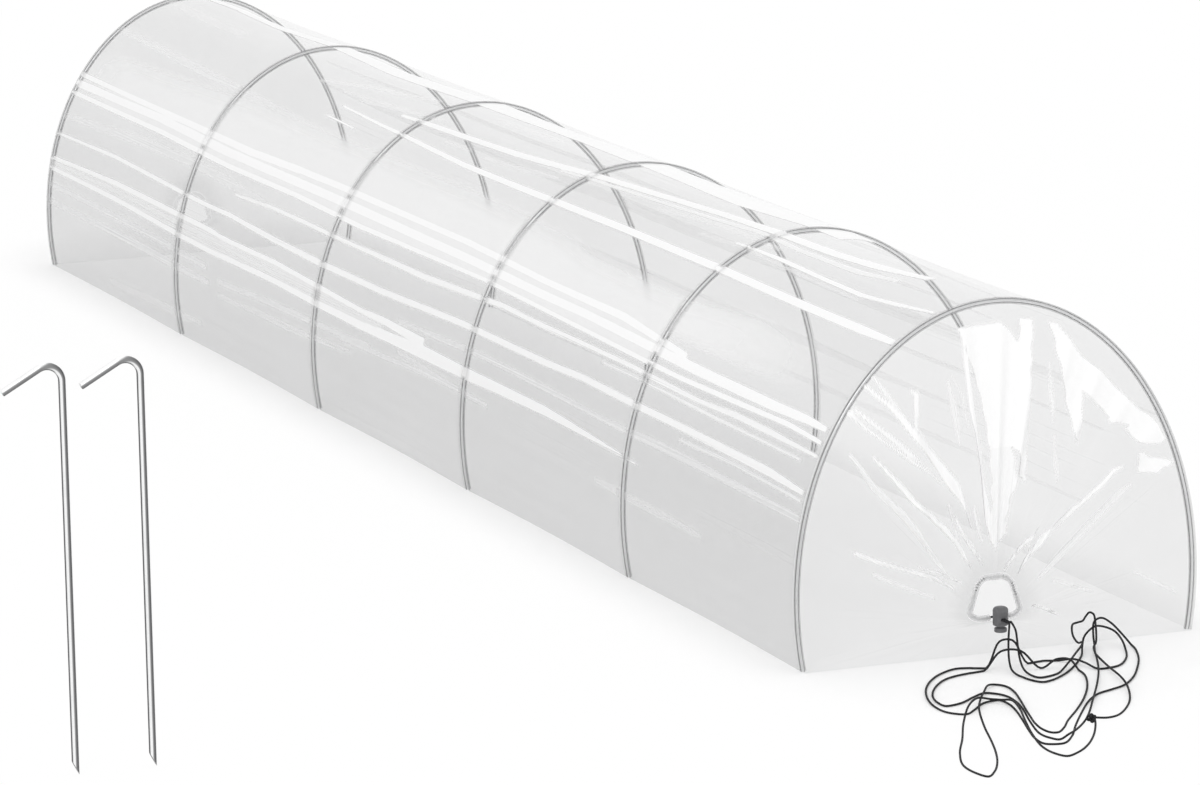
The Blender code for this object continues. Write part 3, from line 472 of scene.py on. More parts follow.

# Hoops: wire bent over the arch, its feet cut flat on the ground, with painted shade down both sides of the
# wire
hoop = {"wire": 0.005, "rings": 220, "sides": 24, "shade": 0.80, "shadeFrom": 0.52, "shadeTo": 0.72,
        "slant": (0.353, 0.916, -0.193)}
run = np.linspace(0.0, girth, hoop["rings"])
ringTurn = 2 * np.pi * (np.arange(hoop["sides"]) + 0.5) / hoop["sides"]
outOf = hoop["wire"] / 2 * np.sin(ringTurn)
alongOf = hoop["wire"] / 2 * np.cos(ringTurn)
for number, line, body in zip(hoopNumbers, hoopLines, hoopBodies):
    rings = archGrid(run[:, None] + 0 * outOf, line + alongOf, outOf + 0 * run[:, None])
    rings[[0, -1], :, 2] = 0.0
    # painted shade: the wire's two sides, as seen looking along slant, get the shade mark
    middle = rings.mean(axis=1, keepdims=True)
    sideways = unit(np.cross(np.gradient(middle[:, 0], axis=0), hoop["slant"]))[:, None]
    turned = np.abs(((rings - middle) * sideways).sum(axis=2)) / (hoop["wire"] / 2)
    marks = {"shade": hoop["shade"] * easeBetween(hoop["shadeFrom"], hoop["shadeTo"], turned)}
    wire = putGrid("hoopWire_%d" % number, rings, zincWire, closed=True, capped=True,
                   chart=tubeChart(run, hoop["sides"]), marks=marks)
    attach(wire, body)
    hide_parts("hoop_%d" % number)
print("stage 4: hoops stand")

# Film: the light that it throws back is painted on it. In mm, streaks are (strength, ((y, arc length from
# the right foot, half width), ...)) and the shoulder's glow is (y, upper edge, lower edge, the latter's
# softness). A fold is (height, waves in a metre x 2 pi, start, drift, the drift's waves), and breaks are the
# noise level where light breaks up, how far full light lowers it, its ease, and the lines' least and full
# strength
film = {
    "level": 0.00198, "wall": 0.0004, "sag": 0.0025, "edge": 0.0083, "columns": 760, "rows": 44,
    "tint": (0.29, 0.29, 0.295), "white": (1.0, 1.0, 1.0), "haze": 0.057, "blur": 0.0021, "glowBlur": 0.020,
    "glowNear": (0.10, 0.48), "glowFar": (2.80, 2.99), "body": (0.64, 0.72), "seen": 0.94, "lift": 0.70,
    "streakEdge": 0.3, "folds": ((0.00045, 74, 0.0, 0.9, 2.3), (0.00030, 131, 2.1, 1.4, 1.7),
                                 (0.00022, 263, 0.0, 0.7, 5.1)),
    "breaks": (0.58, 0.40, 0.14, 0.50, 1.12), "fineFrom": (0.58, 0.74), "fine": (0.46, 0.66, 0.0, 0.06),
    "mottle": (0.25, 0.75), "uneven": (0.88, 1.12), "rough": (0.14, 0.42), "relief": 0.00015, "bump": 0.4,
    "thick": ((0.0, 0.50, 0.62, 0.78, 0.86, 1.08), (0.0, 0.0, 0.067, 0.067, 0.125, 0.125)),
    "glow": ((0, 718, 764, 9), (113, 718, 764, 9), (228, 711, 763, 9), (339, 710, 762, 9),
             (427, 718, 762, 9), (535, 725, 762, 9), (548, 725, 805, 2), (740, 724, 802, 2),
             (881, 720, 799, 2), (964, 711, 798, 2), (1282, 704, 796, 2), (1715, 705, 798, 2),
             (2237, 705, 797, 2), (2401, 711, 795, 2), (2602, 717, 794, 2), (3000, 724, 794, 2)),
    "streaks": (
        (1, ((450, 507, 24.2), (572, 508, 24.1), (763, 508, 33.3), (947, 514, 23.5), (1145, 518, 20),
         (1315, 508, 24.2), (1450, 513, 20.2), (1664, 520, 20.4), (2046, 532, 14.2), (2336, 523, 12.9),
         (2590, 532, 7.7), (2819, 521, 8.5), (2999, 529, 5.1))),
        (1, ((-28, 667, 2.4), (95, 666, 5.2), (862, 660, 4.4), (1160, 663, 4), (1458, 662, 3.2),
         (1793, 654, 1.9), (1981, 647, 1.1))),
        (0.95, ((164, 544, 6.3), (272, 560, 7.6), (372, 568, 6.8), (484, 572, 6.2), (729, 576, 5.7),
         (848, 582, 5.4), (1211, 606, 4.9), (1345, 613, 4.7), (1636, 622, 3.9), (1779, 626, 1.8))),
        (0.7, ((183, 574, 3.4), (274, 585, 4.4), (446, 589, 3.3), (579, 585, 3.6), (1196, 613, 1.8))),
        (1, ((20, 607, 1.5), (89, 614, 2.6), (190, 621, 2.7), (442, 616, 2.4), (579, 618, 1))),
        (0.28, ((1995, 697, 3.7), (2520, 683, 6.6), (2758, 676, 6.3), (2999, 670, 3.7))),
        (0.18, ((2594, 587, 7.1), (2740, 588, 9.3), (2999, 580, 4.8))),
        (0.3, ((1763, 573, 5.4), (1967, 591, 4.2), (2152, 620, 2.5))),
        (0.3, ((1653, 607, 2), (1816, 616, 3.8), (2036, 622, 1.9))),
        (0.35, ((1738, 614, 2.7), (1949, 627, 1.9))),
        (0.3, ((1479, 637, 1.5), (1574, 639, 3))),
        (0.3, ((1161, 627, 1.6), (1294, 634, 3.1), (1430, 640, 2.3))),
        (0.25, ((1346, 553, 5.5), (1556, 561, 4))),
        (0.3, ((481, 601, 2.3), (675, 599, 3.4), (848, 611, 2.6))),
        (0.3, ((539, 621, 1.9), (680, 624, 1.9))),
        (0.3, ((189, 629, 1.2), (620, 621, 1.7))),
        (0.9, ((1872, 675, 0.9), (1998, 671, 0.9))),
        (1, ((9, 808, 1.7), (115, 804, 2.4), (449, 807, 2.3), (1135, 796, 2.1), (1623, 800, 2.9),
         (1905, 797, 3), (2206, 799, 3.1), (2543, 794, 3.3), (2999, 794, 2.7))),
        (0.95, ((11, 792, 2.2), (77, 790, 4.4), (181, 791, 5.6), (407, 790, 5.8), (793, 783, 5),
         (930, 783, 5.1), (1232, 780, 5.4), (1742, 779, 5.8), (2230, 781, 6.3), (2571, 776, 5.7),
         (2999, 778, 5.2))),
        (0.9, ((447, 781, 3.5), (680, 767, 4.9), (953, 766, 3.9), (1259, 760, 4.1), (1768, 761, 4.4),
         (1955, 763, 5.3), (2147, 767, 5.4), (2999, 763, 3.1))),
        (0.75, ((-3, 824, 1.1), (154, 821, 3.3), (264, 820, 3.4), (376, 823, 3), (624, 818, 2.9),
         (891, 819, 3), (1037, 817, 2.9), (1339, 826, 3.6), (1966, 827, 2.4), (2137, 833, 1.5))),
        (0.6, ((51, 835, 1.1), (310, 833, 1.6), (552, 828, 1.4), (679, 829, 1.2))),
        (0.28, ((1992, 826, 3.1), (2177, 821, 6.3), (2345, 815, 6.4), (2625, 820, 6.6), (2999, 832, 3.4))),
        (0.78, ((17, 868, 2.8), (124, 863, 4.5), (723, 857, 3.7), (857, 860, 3.8), (1150, 860, 3.7),
         (1469, 868, 3.7), (1735, 869, 3.9), (1927, 868, 3.7), (2133, 863, 3.2), (2238, 864, 2.9),
         (2701, 858, 2.4), (2999, 862, 1.7))),
        (0.85, ((1279, 907, 5.8), (1446, 904, 4.4), (1532, 905, 3), (1715, 900, 3.1), (1906, 897, 3.1),
         (2107, 899, 3.2), (2214, 896, 3.3), (2436, 895, 3.3), (2670, 895, 3.4), (2999, 901, 2.4))),
        (0.85, ((506, 925, 1), (826, 917, 5.3), (1274, 919, 8.5), (1524, 924, 5.2), (1894, 922, 3.8),
         (2198, 925, 3.3), (2656, 918, 3.2), (2999, 917, 2.5))),
        (0.5, ((1442, 914, 7.4), (1899, 910, 9.4), (2205, 911, 9.9), (2662, 907, 10.4), (2999, 909, 5.3))),
        (0.32, ((2190, 949, 3.5), (2411, 945, 4.4), (2999, 941, 3.7))),
        (0.28, ((2176, 970, 3.5), (2294, 970, 5.4), (2521, 968, 5.5), (2999, 968, 3.8))),
        (0.28, ((1474, 946, 3), (1884, 954, 4), (2145, 962, 3.3))),
        (0.22, ((1557, 966, 3), (1833, 976, 4.8), (2133, 982, 3.4))),
        (0.25, ((1091, 941, 2.8), (1604, 954, 3))),
        (0.25, ((1015, 946, 2.9), (1187, 942, 3.8), (1371, 934, 2.3))),
        (0.32, ((685, 892, 2.5), (1056, 887, 3.5), (1388, 895, 2.8))),
        (0.5, ((12, 878, 1.8), (228, 872, 2.3), (397, 875, 1.6))),
        (0.35, ((-1, 898, 3.4), (448, 892, 4.3), (685, 893, 2.5))),
        (0.22, ((298, 973, 2.6), (429, 970, 5.3), (632, 969, 3.4))),
        (0.15, ((2222, 1037, 3.7), (2416, 1042, 5.8), (2682, 1049, 4))),
        (0.13, ((100, 390, 1), (700, 391, 8), (2200, 389, 9), (2700, 390, 1))),
        (0.17, ((400, 322, 1), (900, 323, 5), (2500, 321, 6), (2900, 322, 1))),
        (0.15, ((20, 260, 1), (600, 261, 10), (2600, 259, 11), (3000, 260, 1))),
        (0.16, ((200, 205, 1), (700, 204, 3), (2000, 206, 3), (2400, 205, 1))),
        (0.14, ((600, 150, 1), (1200, 151, 7), (2800, 149, 8), (3000, 150, 2))),
        (0.12, ((300, 95, 1), (900, 96, 3), (1800, 94, 3), (2200, 95, 1)))),
}


def streakLight(run, y, first=0):
    # strength where a point lies within a streak's half width of its middle, eased over the edge
    light = np.zeros(np.broadcast(run, y).shape)
    for strength, line in film["streaks"][first:]:
        places, middles, halves = np.array(line, float).T / 1000
        half = np.interp(y, places, halves, left=-1.0, right=-1.0)
        off = np.abs(run - np.interp(y, places, middles))
        edge = easeBetween(-film["blur"], film["streakEdge"] * film["blur"], half - off)
        light = np.maximum(light, strength * edge)
    return light


def shoulderGlow(run, y):
    # broad light on the left shoulder: soft above, hard below beyond the first bay, faded at both ends
    places, tops, feet, blurs = np.array(film["glow"], float).T / 1000
    top, foot, blur = (np.interp(y, places, values) for values in (tops, feet, blurs))
    inside = easeBetween(top - film["glowBlur"], top + film["glowBlur"], run)
    inside = inside * (1 - easeBetween(foot - blur, foot + blur, run))
    return inside * easeBetween(*film["glowNear"], y) * (1 - easeBetween(*film["glowFar"], y))


def creases(run, y):
    # shallow folds along the film: a sum of slow waves
    return sum(height * np.sin(run * waves + start + drift * np.sin(driftWaves * y))
               for height, waves, start, drift, driftWaves in film["folds"])


def makeFilm(name, haze, bandScale):
    # clear film: a thin grey veil, and white where light is thrown back, broken up by fine drawn lines
    finish, tree, shader = newFinish(name, Roughness=0.16, IOR=1.46, Specular_IOR_Level=0.5)
    chart = chartOf(tree)
    light = markOf(tree, "light")
    glow = markOf(tree, "glow")
    hair = drawnNoise(tree, chart, bandScale["hair"], detail=4.0, roughness=0.6)
    patch = drawnNoise(tree, chart, bandScale["patch"], detail=2.0, shift=(2.3, 5.1, 0.0))
    cloud = drawnNoise(tree, chart, bandScale["cloud"], detail=3.0, shift=(7.9, 1.3, 0.0))
    # fine drawn lines break up faint light most, and leave full light whole
    level, fall, ease, least, full = film["breaks"]
    lowest = sums(tree, "SUBTRACT", level, times(tree, light, fall))
    lines = easeNode(tree, hair, lowest, plus(tree, lowest, ease), least, full)
    # fineLines and fine: faint painted highlight in fine lines, in scattered patches, also away from the
    # marks
    fineLines = easeNode(tree, hair, *film["fineFrom"])
    fine = times(tree, fineLines, easeNode(tree, patch, *film["fine"]))
    thrown = most(tree, times(tree, light, lines, clamp=True), fine)
    # soft is the shoulder's painted glow, mottled by cloud
    soft = times(tree, glow, easeNode(tree, cloud, *film["mottle"], *film["body"]))
    whole = most(tree, thrown, soft, clamp=True)
    dense = markOf(tree, "dense")
    thin, dim = (haze * share for share in film["uneven"])
    veil = plus(tree, easeNode(tree, cloud, *film["mottle"], thin, dim), dense)
    painted = times(tree, sums(tree, "POWER", whole, film["lift"]), film["seen"])
    seen = plus(tree, veil, painted)
    colour = blendColour(tree, sums(tree, "DIVIDE", painted, seen, clamp=True), film["tint"], film["white"])
    rough = easeNode(tree, whole, 0.0, 1.0, *film["rough"])
    feed(tree, shader, Base_Color=colour, Alpha=sums(tree, "MINIMUM", seen, 1.0), Roughness=rough,
         Normal=bumpFrom(tree, hair, film["relief"], film["bump"]))
    return finish


clearScale = {"hair": (230.0, 1.1, 1.0), "patch": (13.0, 0.9, 1.0), "cloud": (5.0, 2.2, 1.0)}
clearFilm = makeFilm("clearFilm", film["haze"], clearScale)

# Film between the hoops, from one sleeve's edge to the next
run = np.linspace(0.0, girth, film["columns"])[None, :]
for number in hoopNumbers[:-1]:
    nearLine, farLine = hoopLines[number - 1] + film["edge"], hoopLines[number] - film["edge"]
    share = np.linspace(0.0, 1.0, film["rows"])[:, None]
    y = nearLine + (farLine - nearLine) * share
    hold = np.sin(np.pi * share)
    out = film["level"] - film["sag"] * hold + np.sqrt(hold) * creases(run, y)
    grid = archGrid(run + 0 * y, y, out)
    grid[..., 2] = np.maximum(grid[..., 2], 0.0)
    chart = np.stack(np.broadcast_arrays(run, y), axis=-1)
    # dense adds grey veil from the crown down towards the left foot
    marks = {"light": streakLight(run, y), "glow": shoulderGlow(run, y),
             "dense": np.interp(run, *film["thick"]) + 0 * y}
    bay = putGrid("filmBay_%d" % number, grid, clearFilm, chart=chart, marks=marks, wall=film["wall"])
    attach(bay, hoopBodies[number - 1])
    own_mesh(bay)
    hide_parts("film_bay_%d" % number)
print("stage 5: film is stretched over the bays")

# Sleeves: the film folded round each hoop and welded shut along both sides, leaving a flat tab, with painted
# shade on the pocket's crowns and the film's painted light carried over them
sleeve = {"half": 0.0080, "tab": 0.0008, "pocket": 0.0040, "bore": 0.0035, "boreWide": 0.0034, "foot": 0.001,
          "reach": 1.06, "flat": 0.0012, "shut": 0.0046, "points": 40, "rings": 220, "seam": 0.0050,
          "seamWidth": 0.0006, "crownFrom": (0.0019, 0.0026), "light": (0.80, 0.80, 0.81),
          "dark": (0.22, 0.22, 0.225), "crown": 0.20, "pressed": 0.20, "least": 0.06, "lit": 0.85,
          "glowShare": 0.50, "weld": (420.0, 3.0, 1.0), "welded": (0.35, 0.65, 0.55, 1.0), "relief": 0.0003,
          "bump": 0.5}
weldedSleeve, tree, shader = newFinish("weldedSleeve", Roughness=0.28, IOR=1.46)
seam = markOf(tree, "seam")
light = markOf(tree, "light")
chart = chartOf(tree)
crown = markOf(tree, "crown")
weld = drawnNoise(tree, chart, sleeve["weld"], detail=3.0)
pressed = times(tree, seam, easeNode(tree, weld, *sleeve["welded"]))
# crownShade is painted shade on the pocket's crowns; pressed is the welded seam
crownShade = times(tree, crown, sleeve["crown"])
dark = most(tree, crownShade, times(tree, pressed, sleeve["pressed"]))
lit = times(tree, light, sleeve["lit"])
shown = most(tree, most(tree, dark, sleeve["least"]), lit, clamp=True)
ownColour = blendColour(tree, crown, sleeve["light"], sleeve["dark"])
feed(tree, shader, Alpha=shown, Base_Color=blendColour(tree, light, ownColour, film["white"]),
     Normal=bumpFrom(tree, weld, sleeve["relief"], sleeve["bump"]))


def sleeveOutline(count):
    # a loop of (along, out): two walls that lie together in the tabs and part round the wire, and the bore
    turnOf = 2 * np.pi * (np.arange(count) + 0.5) / count
    along = sleeve["half"] * np.clip(np.cos(turnOf) * sleeve["reach"], -1.0, 1.0)
    parted = 1 - easeBetween(sleeve["flat"], sleeve["shut"], np.abs(along))
    top = film["level"] + sleeve["tab"] / 2
    bottom = film["level"] - sleeve["tab"] / 2
    upper = top + (sleeve["pocket"] - top) * parted
    lower = bottom + (-sleeve["pocket"] - bottom) * parted
    outer = np.stack([along, np.where(np.sin(turnOf) > 0, upper, lower)], axis=1)
    inner = np.stack([sleeve["boreWide"] * np.cos(turnOf), sleeve["bore"] * np.sin(turnOf)], axis=1)
    return outer, inner


def putShell(name, outer, inner, finish, chart, marks):
    # a closed wall: an outer tube, an inner one turned the other way, and a rim at each end
    rows, columns = outer.shape[:2]
    points = np.concatenate([outer.reshape(-1, 3), inner.reshape(-1, 3)])
    quads, corners = gridFaces(rows, columns, True)
    fromMiddle = (outer - outer.mean(axis=1, keepdims=True)).reshape(-1, 3)[quads[:, 0]]
    quads, corners, outward = turnOut(points, quads, corners, fromMiddle)
    shift = rows * columns
    first = np.arange(columns)
    after = (first + 1) % columns
    last, lastAfter = first + shift - columns, after + shift - columns
    nearRim = np.stack([first, after, after + shift, first + shift], axis=1)
    farRim = np.stack([lastAfter, last, last + shift, lastAfter + shift], axis=1)
    if outward:
        nearRim, farRim = nearRim[:, ::-1], farRim[:, ::-1]
    faces = np.concatenate([quads, quads[:, ::-1] + shift, nearRim, farRim]).tolist()
    piece = putMesh(name, points, faces, finish)
    columnOf = np.stack([first, first + 1, first + 1, first], axis=1)
    rims = [np.stack([np.full_like(columnOf, row), columnOf], axis=-1) for row in (0, rows - 1)]
    every = np.concatenate([corners, corners[:, ::-1], *rims])
    layChart(piece, chart[every[..., 0], every[..., 1]].reshape(-1, 2))
    layMarks(piece, {key: np.tile(values.ravel(), 2) for key, values in marks.items()})
    return piece


outline, bore = sleeveOutline(sleeve["points"])
run = np.linspace(0.0, girth, sleeve["rings"])[:, None]
seamMark = np.exp(-((np.abs(outline[:, 0]) - sleeve["seam"]) / sleeve["seamWidth"]) ** 2) + 0 * run
# crownMark: painted shade where the pocket bulges furthest out from the arch and in towards it
crownMark = easeBetween(*sleeve["crownFrom"], np.abs(outline[:, 1])) + 0 * run
for number, line, body in zip(hoopNumbers, hoopLines, hoopBodies):
    shells = []
    for shape in (outline, bore):
        grid = archGrid(run + 0 * shape[:, 0], line + shape[:, 0], shape[:, 1] + 0 * run)
        grid[[0, -1], :, 2] = sleeve["foot"]
        shells.append(grid)
    y = line + outline[:, 0]
    # lit is painted light: the film's streaks after the first, and half its glow, carry on over the sleeves,
    # though not over the front hoop's
    lit = np.maximum(streakLight(run, y, 1), sleeve["glowShare"] * shoulderGlow(run, y))
    marks = {"seam": seamMark, "crown": crownMark, "light": lit * (0.0 if number == 1 else 1.0)}
    chart = tubeChart(run[:, 0], sleeve["points"])
    wrap = putShell("hoopSleeve_%d" % number, *shells, weldedSleeve, chart, marks)
    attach(wrap, body)
    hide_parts("film_channel_%d" % number)
print("stage 6: sleeves are on the hoops")

# The drawn mouth: shares of its half width and height, from the bottom middle over the right side
mouth = {"offset": -0.012, "half": 0.031, "height": 0.047, "bottom": 0.0447, "start": 0.00855,
         "forward": 0.008, "corner": 0.004, "steps": 24,
         "shares": ((0.0, 0.0), (0.76, 0.01), (1.0, 0.14), (0.93, 0.36), (0.80, 0.62), (0.66, 0.85),
                    (0.38, 0.99))}
hem = {"radius": 0.0036, "wall": 0.0014, "gap": 0.0003, "slit": 0.0066, "steps": 260, "sides": 12,
       "gathers": 54, "wander": ((2.0, 17), (1.1, 41)), "swell": (0.95, 0.10), "puckered": (0.35, 0.75),
       "parted": ((0.26, 0.37), (0.43, 0.46), (0.57, 0.69)), "partedEase": 0.02, "least": 0.12, "clear": 0.35,
       "milky": (0.3, 0.7, 0.44, 0.52), "dull": (0.86, 0.86, 0.865), "pale": (0.91, 0.91, 0.915),
       "grain": (160.0, 2.0, 1.0), "relief": 0.0002}
mouthY = -(mouth["start"] + mouth["corner"] + mouth["forward"])


def mouthOutline(grow):
    # the mouth's outline (x, z), a smooth closed line moved out by grow along its normal
    rightSide = [(x * mouth["half"], z * mouth["height"]) for x, z in mouth["shares"]]
    leftSide = [(-x, z) for x, z in rightSide[:0:-1]]
    line = smoothLine(rightSide + [(0.0, mouth["height"])] + leftSide, mouth["steps"], closed=True)
    forward = np.roll(line, -1, axis=0) - np.roll(line, 1, axis=0)
    line = line + grow * unit(np.stack([forward[:, 1], -forward[:, 0]], axis=1))
    line = line + (mouth["offset"], mouth["bottom"])
    return np.concatenate([line, line[:1]])


# Light on the gathered end, in mm: rays are (strength, ((x, z, half width), ...)) and patches are (strength,
# ((x, z), ...)), a closed outline. archPart is the arch's part of the way round, the ground has the rest.
# uneven makes no two pleats alike: a second wave's size, its drift and the drift's waves, a third wave's size
# and its waves
end = {
    "rows": 100, "archColumns": 404, "groundColumns": 76, "pleats": 18, "pleat": 0.0035, "power": 0.8,
    "haze": 0.059, "archPart": 54 / 68, "spread": 1.12, "corner": 0.045, "still": 0.03, "onGround": 0.2,
    "gather": 0.0009, "gatherFrom": (0.35, 0.95), "gatherTo": (0.97, 1.0), "dense": 0.06, "denseFrom": 0.86,
    "chart": (1.5, 0.35), "rayEdge": (-0.0011, 0.0009), "patchEdge": (-0.0012, 0.0015), "jitter": 0.0009,
    "jitterWaves": (60, 210), "uneven": (0.30, 0.7, 19.468, 0.18, 4.0), "gatherDrift": (1.3, 56.52),
    "heart": (0.5, 0.15),
    "rays": (
        (0.95, ((-48, 379, 0.9), (-44, 349, 2.5), (-38, 291, 3), (-31, 258, 3), (-27, 236, 3.4),
         (-24, 208, 1.8), (-21, 183, 3), (-17, 157, 3.7), (-13, 130, 1.4))),
        (0.35, ((-36, 354, 1.1), (-28, 332, 5.8), (-22, 305, 3.4), (-15, 284, 3.4))),
        (0.5, ((-64, 322, 1.1), (-58, 292, 3.4), (-54, 271, 2.9), (-51, 249, 0.9))),
        (0.3, ((-60, 329, 0.9), (-49, 308, 1.4), (-42, 270, 1.1))),
        (0.5, ((-8, 267, 1.8), (-8, 245, 0.9))), (0.35, ((-14, 287, 4.6), (-5, 284, 4.6))),
        (0.7, ((-157, 336, 1.1), (-144, 319, 2.5), (-131, 300, 2.3), (-123, 288, 1.1))),
        (0.92, ((-166, 326, 1.4), (-155, 315, 2.8), (-139, 303, 2.3), (-126, 289, 3.4), (-112, 270, 3.7),
         (-95, 249, 4.1), (-76, 225, 5.3), (-63, 206, 6.2), (-51, 186, 3.4), (-45, 171, 2.3),
         (-39, 152, 0.9))),
        (0.9, ((-112, 317, 0.9), (-104, 312, 3), (-105, 290, 3.2), (-107, 273, 2.8))),
        (0.8, ((-107, 273, 1.7), (-98, 261, 2.3), (-88, 241, 1.1))),
        (0.85, ((-180, 300, 1.6), (-163, 286, 2.5), (-144, 270, 2.8), (-128, 257, 3.2), (-113, 243, 3.4),
         (-102, 234, 1.1))),
        (0.75, ((-185, 296, 3.4), (-172, 282, 1.8), (-150, 264, 1.4), (-128, 248, 1.4), (-111, 235, 2.1),
         (-94, 223, 1.1))),
        (0.35, ((-94, 223, 1.4), (-77, 206, 1.1))),
        (0.92, ((-158, 243, 0.9), (-143, 227, 1.8), (-126, 207, 2.5), (-110, 187, 2.5), (-90, 170, 2.5),
         (-73, 154, 3.2), (-59, 137, 1.8), (-49, 118, 1.6), (-41, 106, 0.9))),
        (0.62, ((-187, 248, 1.7), (-174, 231, 2.3), (-161, 211, 3.4), (-144, 193, 3.4), (-125, 175, 3.9),
         (-108, 154, 3.9), (-95, 133, 2.8), (-84, 117, 3), (-74, 103, 1.1))),
        (0.7, ((-67, 178, 1.6), (-63, 161, 2.3), (-59, 141, 1.8))),
        (0.85, ((-58, 163, 1.1), (-49, 143, 1.6), (-38, 125, 1.8), (-27, 110, 1.1))),
        (0.8, ((-35, 173, 1.1), (-32, 156, 1.6), (-28, 137, 0.9))),
        (0.85, ((-182, 134, 1.8), (-155, 122, 2.1), (-121, 110, 1.8), (-86, 97, 2.1), (-63, 83, 0.9))),
        (0.7, ((-104, 110, 0.9), (-80, 102, 1.6), (-63, 94, 1.1), (-54, 89, 0.7))),
        (0.45, ((-160, 107, 1.7), (-139, 97, 2.3), (-116, 86, 2.3), (-87, 74, 1.1))),
        (0.6, ((63, 334, 0.9), (64, 297, 1.6), (64, 265, 0.9))),
        (0.35, ((68, 248, 1.6), (68, 195, 1.6))),
        (0.92, ((153, 205, 0.7), (143, 201, 1.8), (127, 186, 1.8), (101, 166, 2.1), (76, 150, 3),
         (53, 133, 3), (38, 118, 2.1), (24, 103, 1.6), (18, 93, 0.7))),
        (0.6, ((165, 181, 1.1), (151, 173, 3.4), (135, 159, 3.4), (116, 144, 3.7), (95, 126, 4.1),
         (76, 110, 3.4), (56, 93, 2.3), (46, 85, 0.9))),
        (0.85, ((44, 142, 0.7), (38, 135, 1.4), (26, 126, 1.4), (15, 116, 1.6), (1, 99, 0.9))),
        (0.6, ((29, 128, 0.9), (35, 114, 1.1))),
        (0.35, ((170, 78, 1.1), (200, 61, 1.6), (222, 49, 1.1))),
        (0.3, ((63, 80, 1.1), (88, 71, 1.8), (113, 61, 1.1))),
        (0.8, ((38, 53, 0.9), (52, 48, 1.6), (68, 39, 0.9))),
        (0.45, ((6, 235, 4), (8, 190, 4), (2, 150, 2)))),
    "patches": (
        (1, ((-52, 384), (-40, 349), (-28, 316), (-20, 281), (-15, 244), (14, 240), (20, 236), (22, 206),
         (31, 197), (33, 240), (36, 283), (38, 336), (42, 387), (26, 389), (24, 362), (12, 376), (0, 387))),
        (0.85, ((-15, 246), (14, 242), (18, 204), (8, 176), (2, 140), (-10, 124), (-17, 136), (-14, 171),
         (-13, 208))),
        (1, ((62, 382), (68, 364), (74, 338), (79, 311), (83, 289), (87, 273), (90, 256), (94, 240),
         (97, 237), (99, 255), (102, 276), (103, 298), (113, 288), (123, 279), (132, 273), (138, 264),
         (136, 258), (149, 257), (164, 252), (158, 248), (167, 238), (176, 231), (189, 228), (204, 227),
         (209, 232), (201, 250), (189, 262), (176, 269), (164, 281), (152, 294), (140, 305), (128, 318),
         (116, 328), (104, 339), (92, 353), (80, 371), (74, 379))),
        (0.9, ((173, 220), (180, 220), (189, 212), (203, 210), (219, 205), (215, 199), (207, 198),
         (201, 192), (176, 195), (173, 208)))),
}


def offLine(x, z, x0, z0, x1, z1):
    # distance from the straight line between two places, and the share of it where the nearest point lies
    share = ((x - x0) * (x1 - x0) + (z - z0) * (z1 - z0)) / ((x1 - x0) ** 2 + (z1 - z0) ** 2)
    share = np.clip(share, 0.0, 1.0)
    return np.hypot(x - x0 - share * (x1 - x0), z - z0 - share * (z1 - z0)), share


def rayLight(x, z):
    # strength within each ray's half width of its broken line, eased over the edge
    light = np.zeros(x.shape)
    for strength, line in end["rays"]:
        line = np.array(line, float) / 1000
        for (x0, z0, w0), (x1, z1, w1) in zip(line[:-1], line[1:]):
            off, share = offLine(x, z, x0, z0, x1, z1)
            edge = easeBetween(*end["rayEdge"], w0 + (w1 - w0) * share - off)
            light = np.maximum(light, strength * edge)
    return light


def patchLight(x, z):
    # strength inside each outline: distance to its nearest side, negative outside, eased over the edge
    light = np.zeros(x.shape)
    x = x + end["jitter"] * np.sin(end["jitterWaves"][1] * z + end["jitterWaves"][0] * x)
    for strength, outline in end["patches"]:
        outline = np.array(outline, float) / 1000
        inside, nearest = np.zeros(x.shape, bool), np.full(x.shape, 1.0)
        for (x0, z0), (x1, z1) in zip(outline, np.roll(outline, -1, axis=0)):
            nearest = np.minimum(nearest, offLine(x, z, x0, z0, x1, z1)[0])
            slope = (x1 - x0) / (z1 - z0) if z1 != z0 else 0.0
            inside ^= ((z0 > z) != (z1 > z)) & (x < x0 + (z - z0) * slope)
        edge = easeBetween(*end["patchEdge"], np.where(inside, nearest, -nearest))
        light = np.maximum(light, strength * edge)
    return light


gatheredScale = {"hair": (640.0, 1.6, 1.0), "patch": (34.0, 1.3, 1.0), "cloud": (9.0, 3.0, 1.0)}
gatheredFilm = makeFilm("gatheredFilm", end["haze"], gatheredScale)


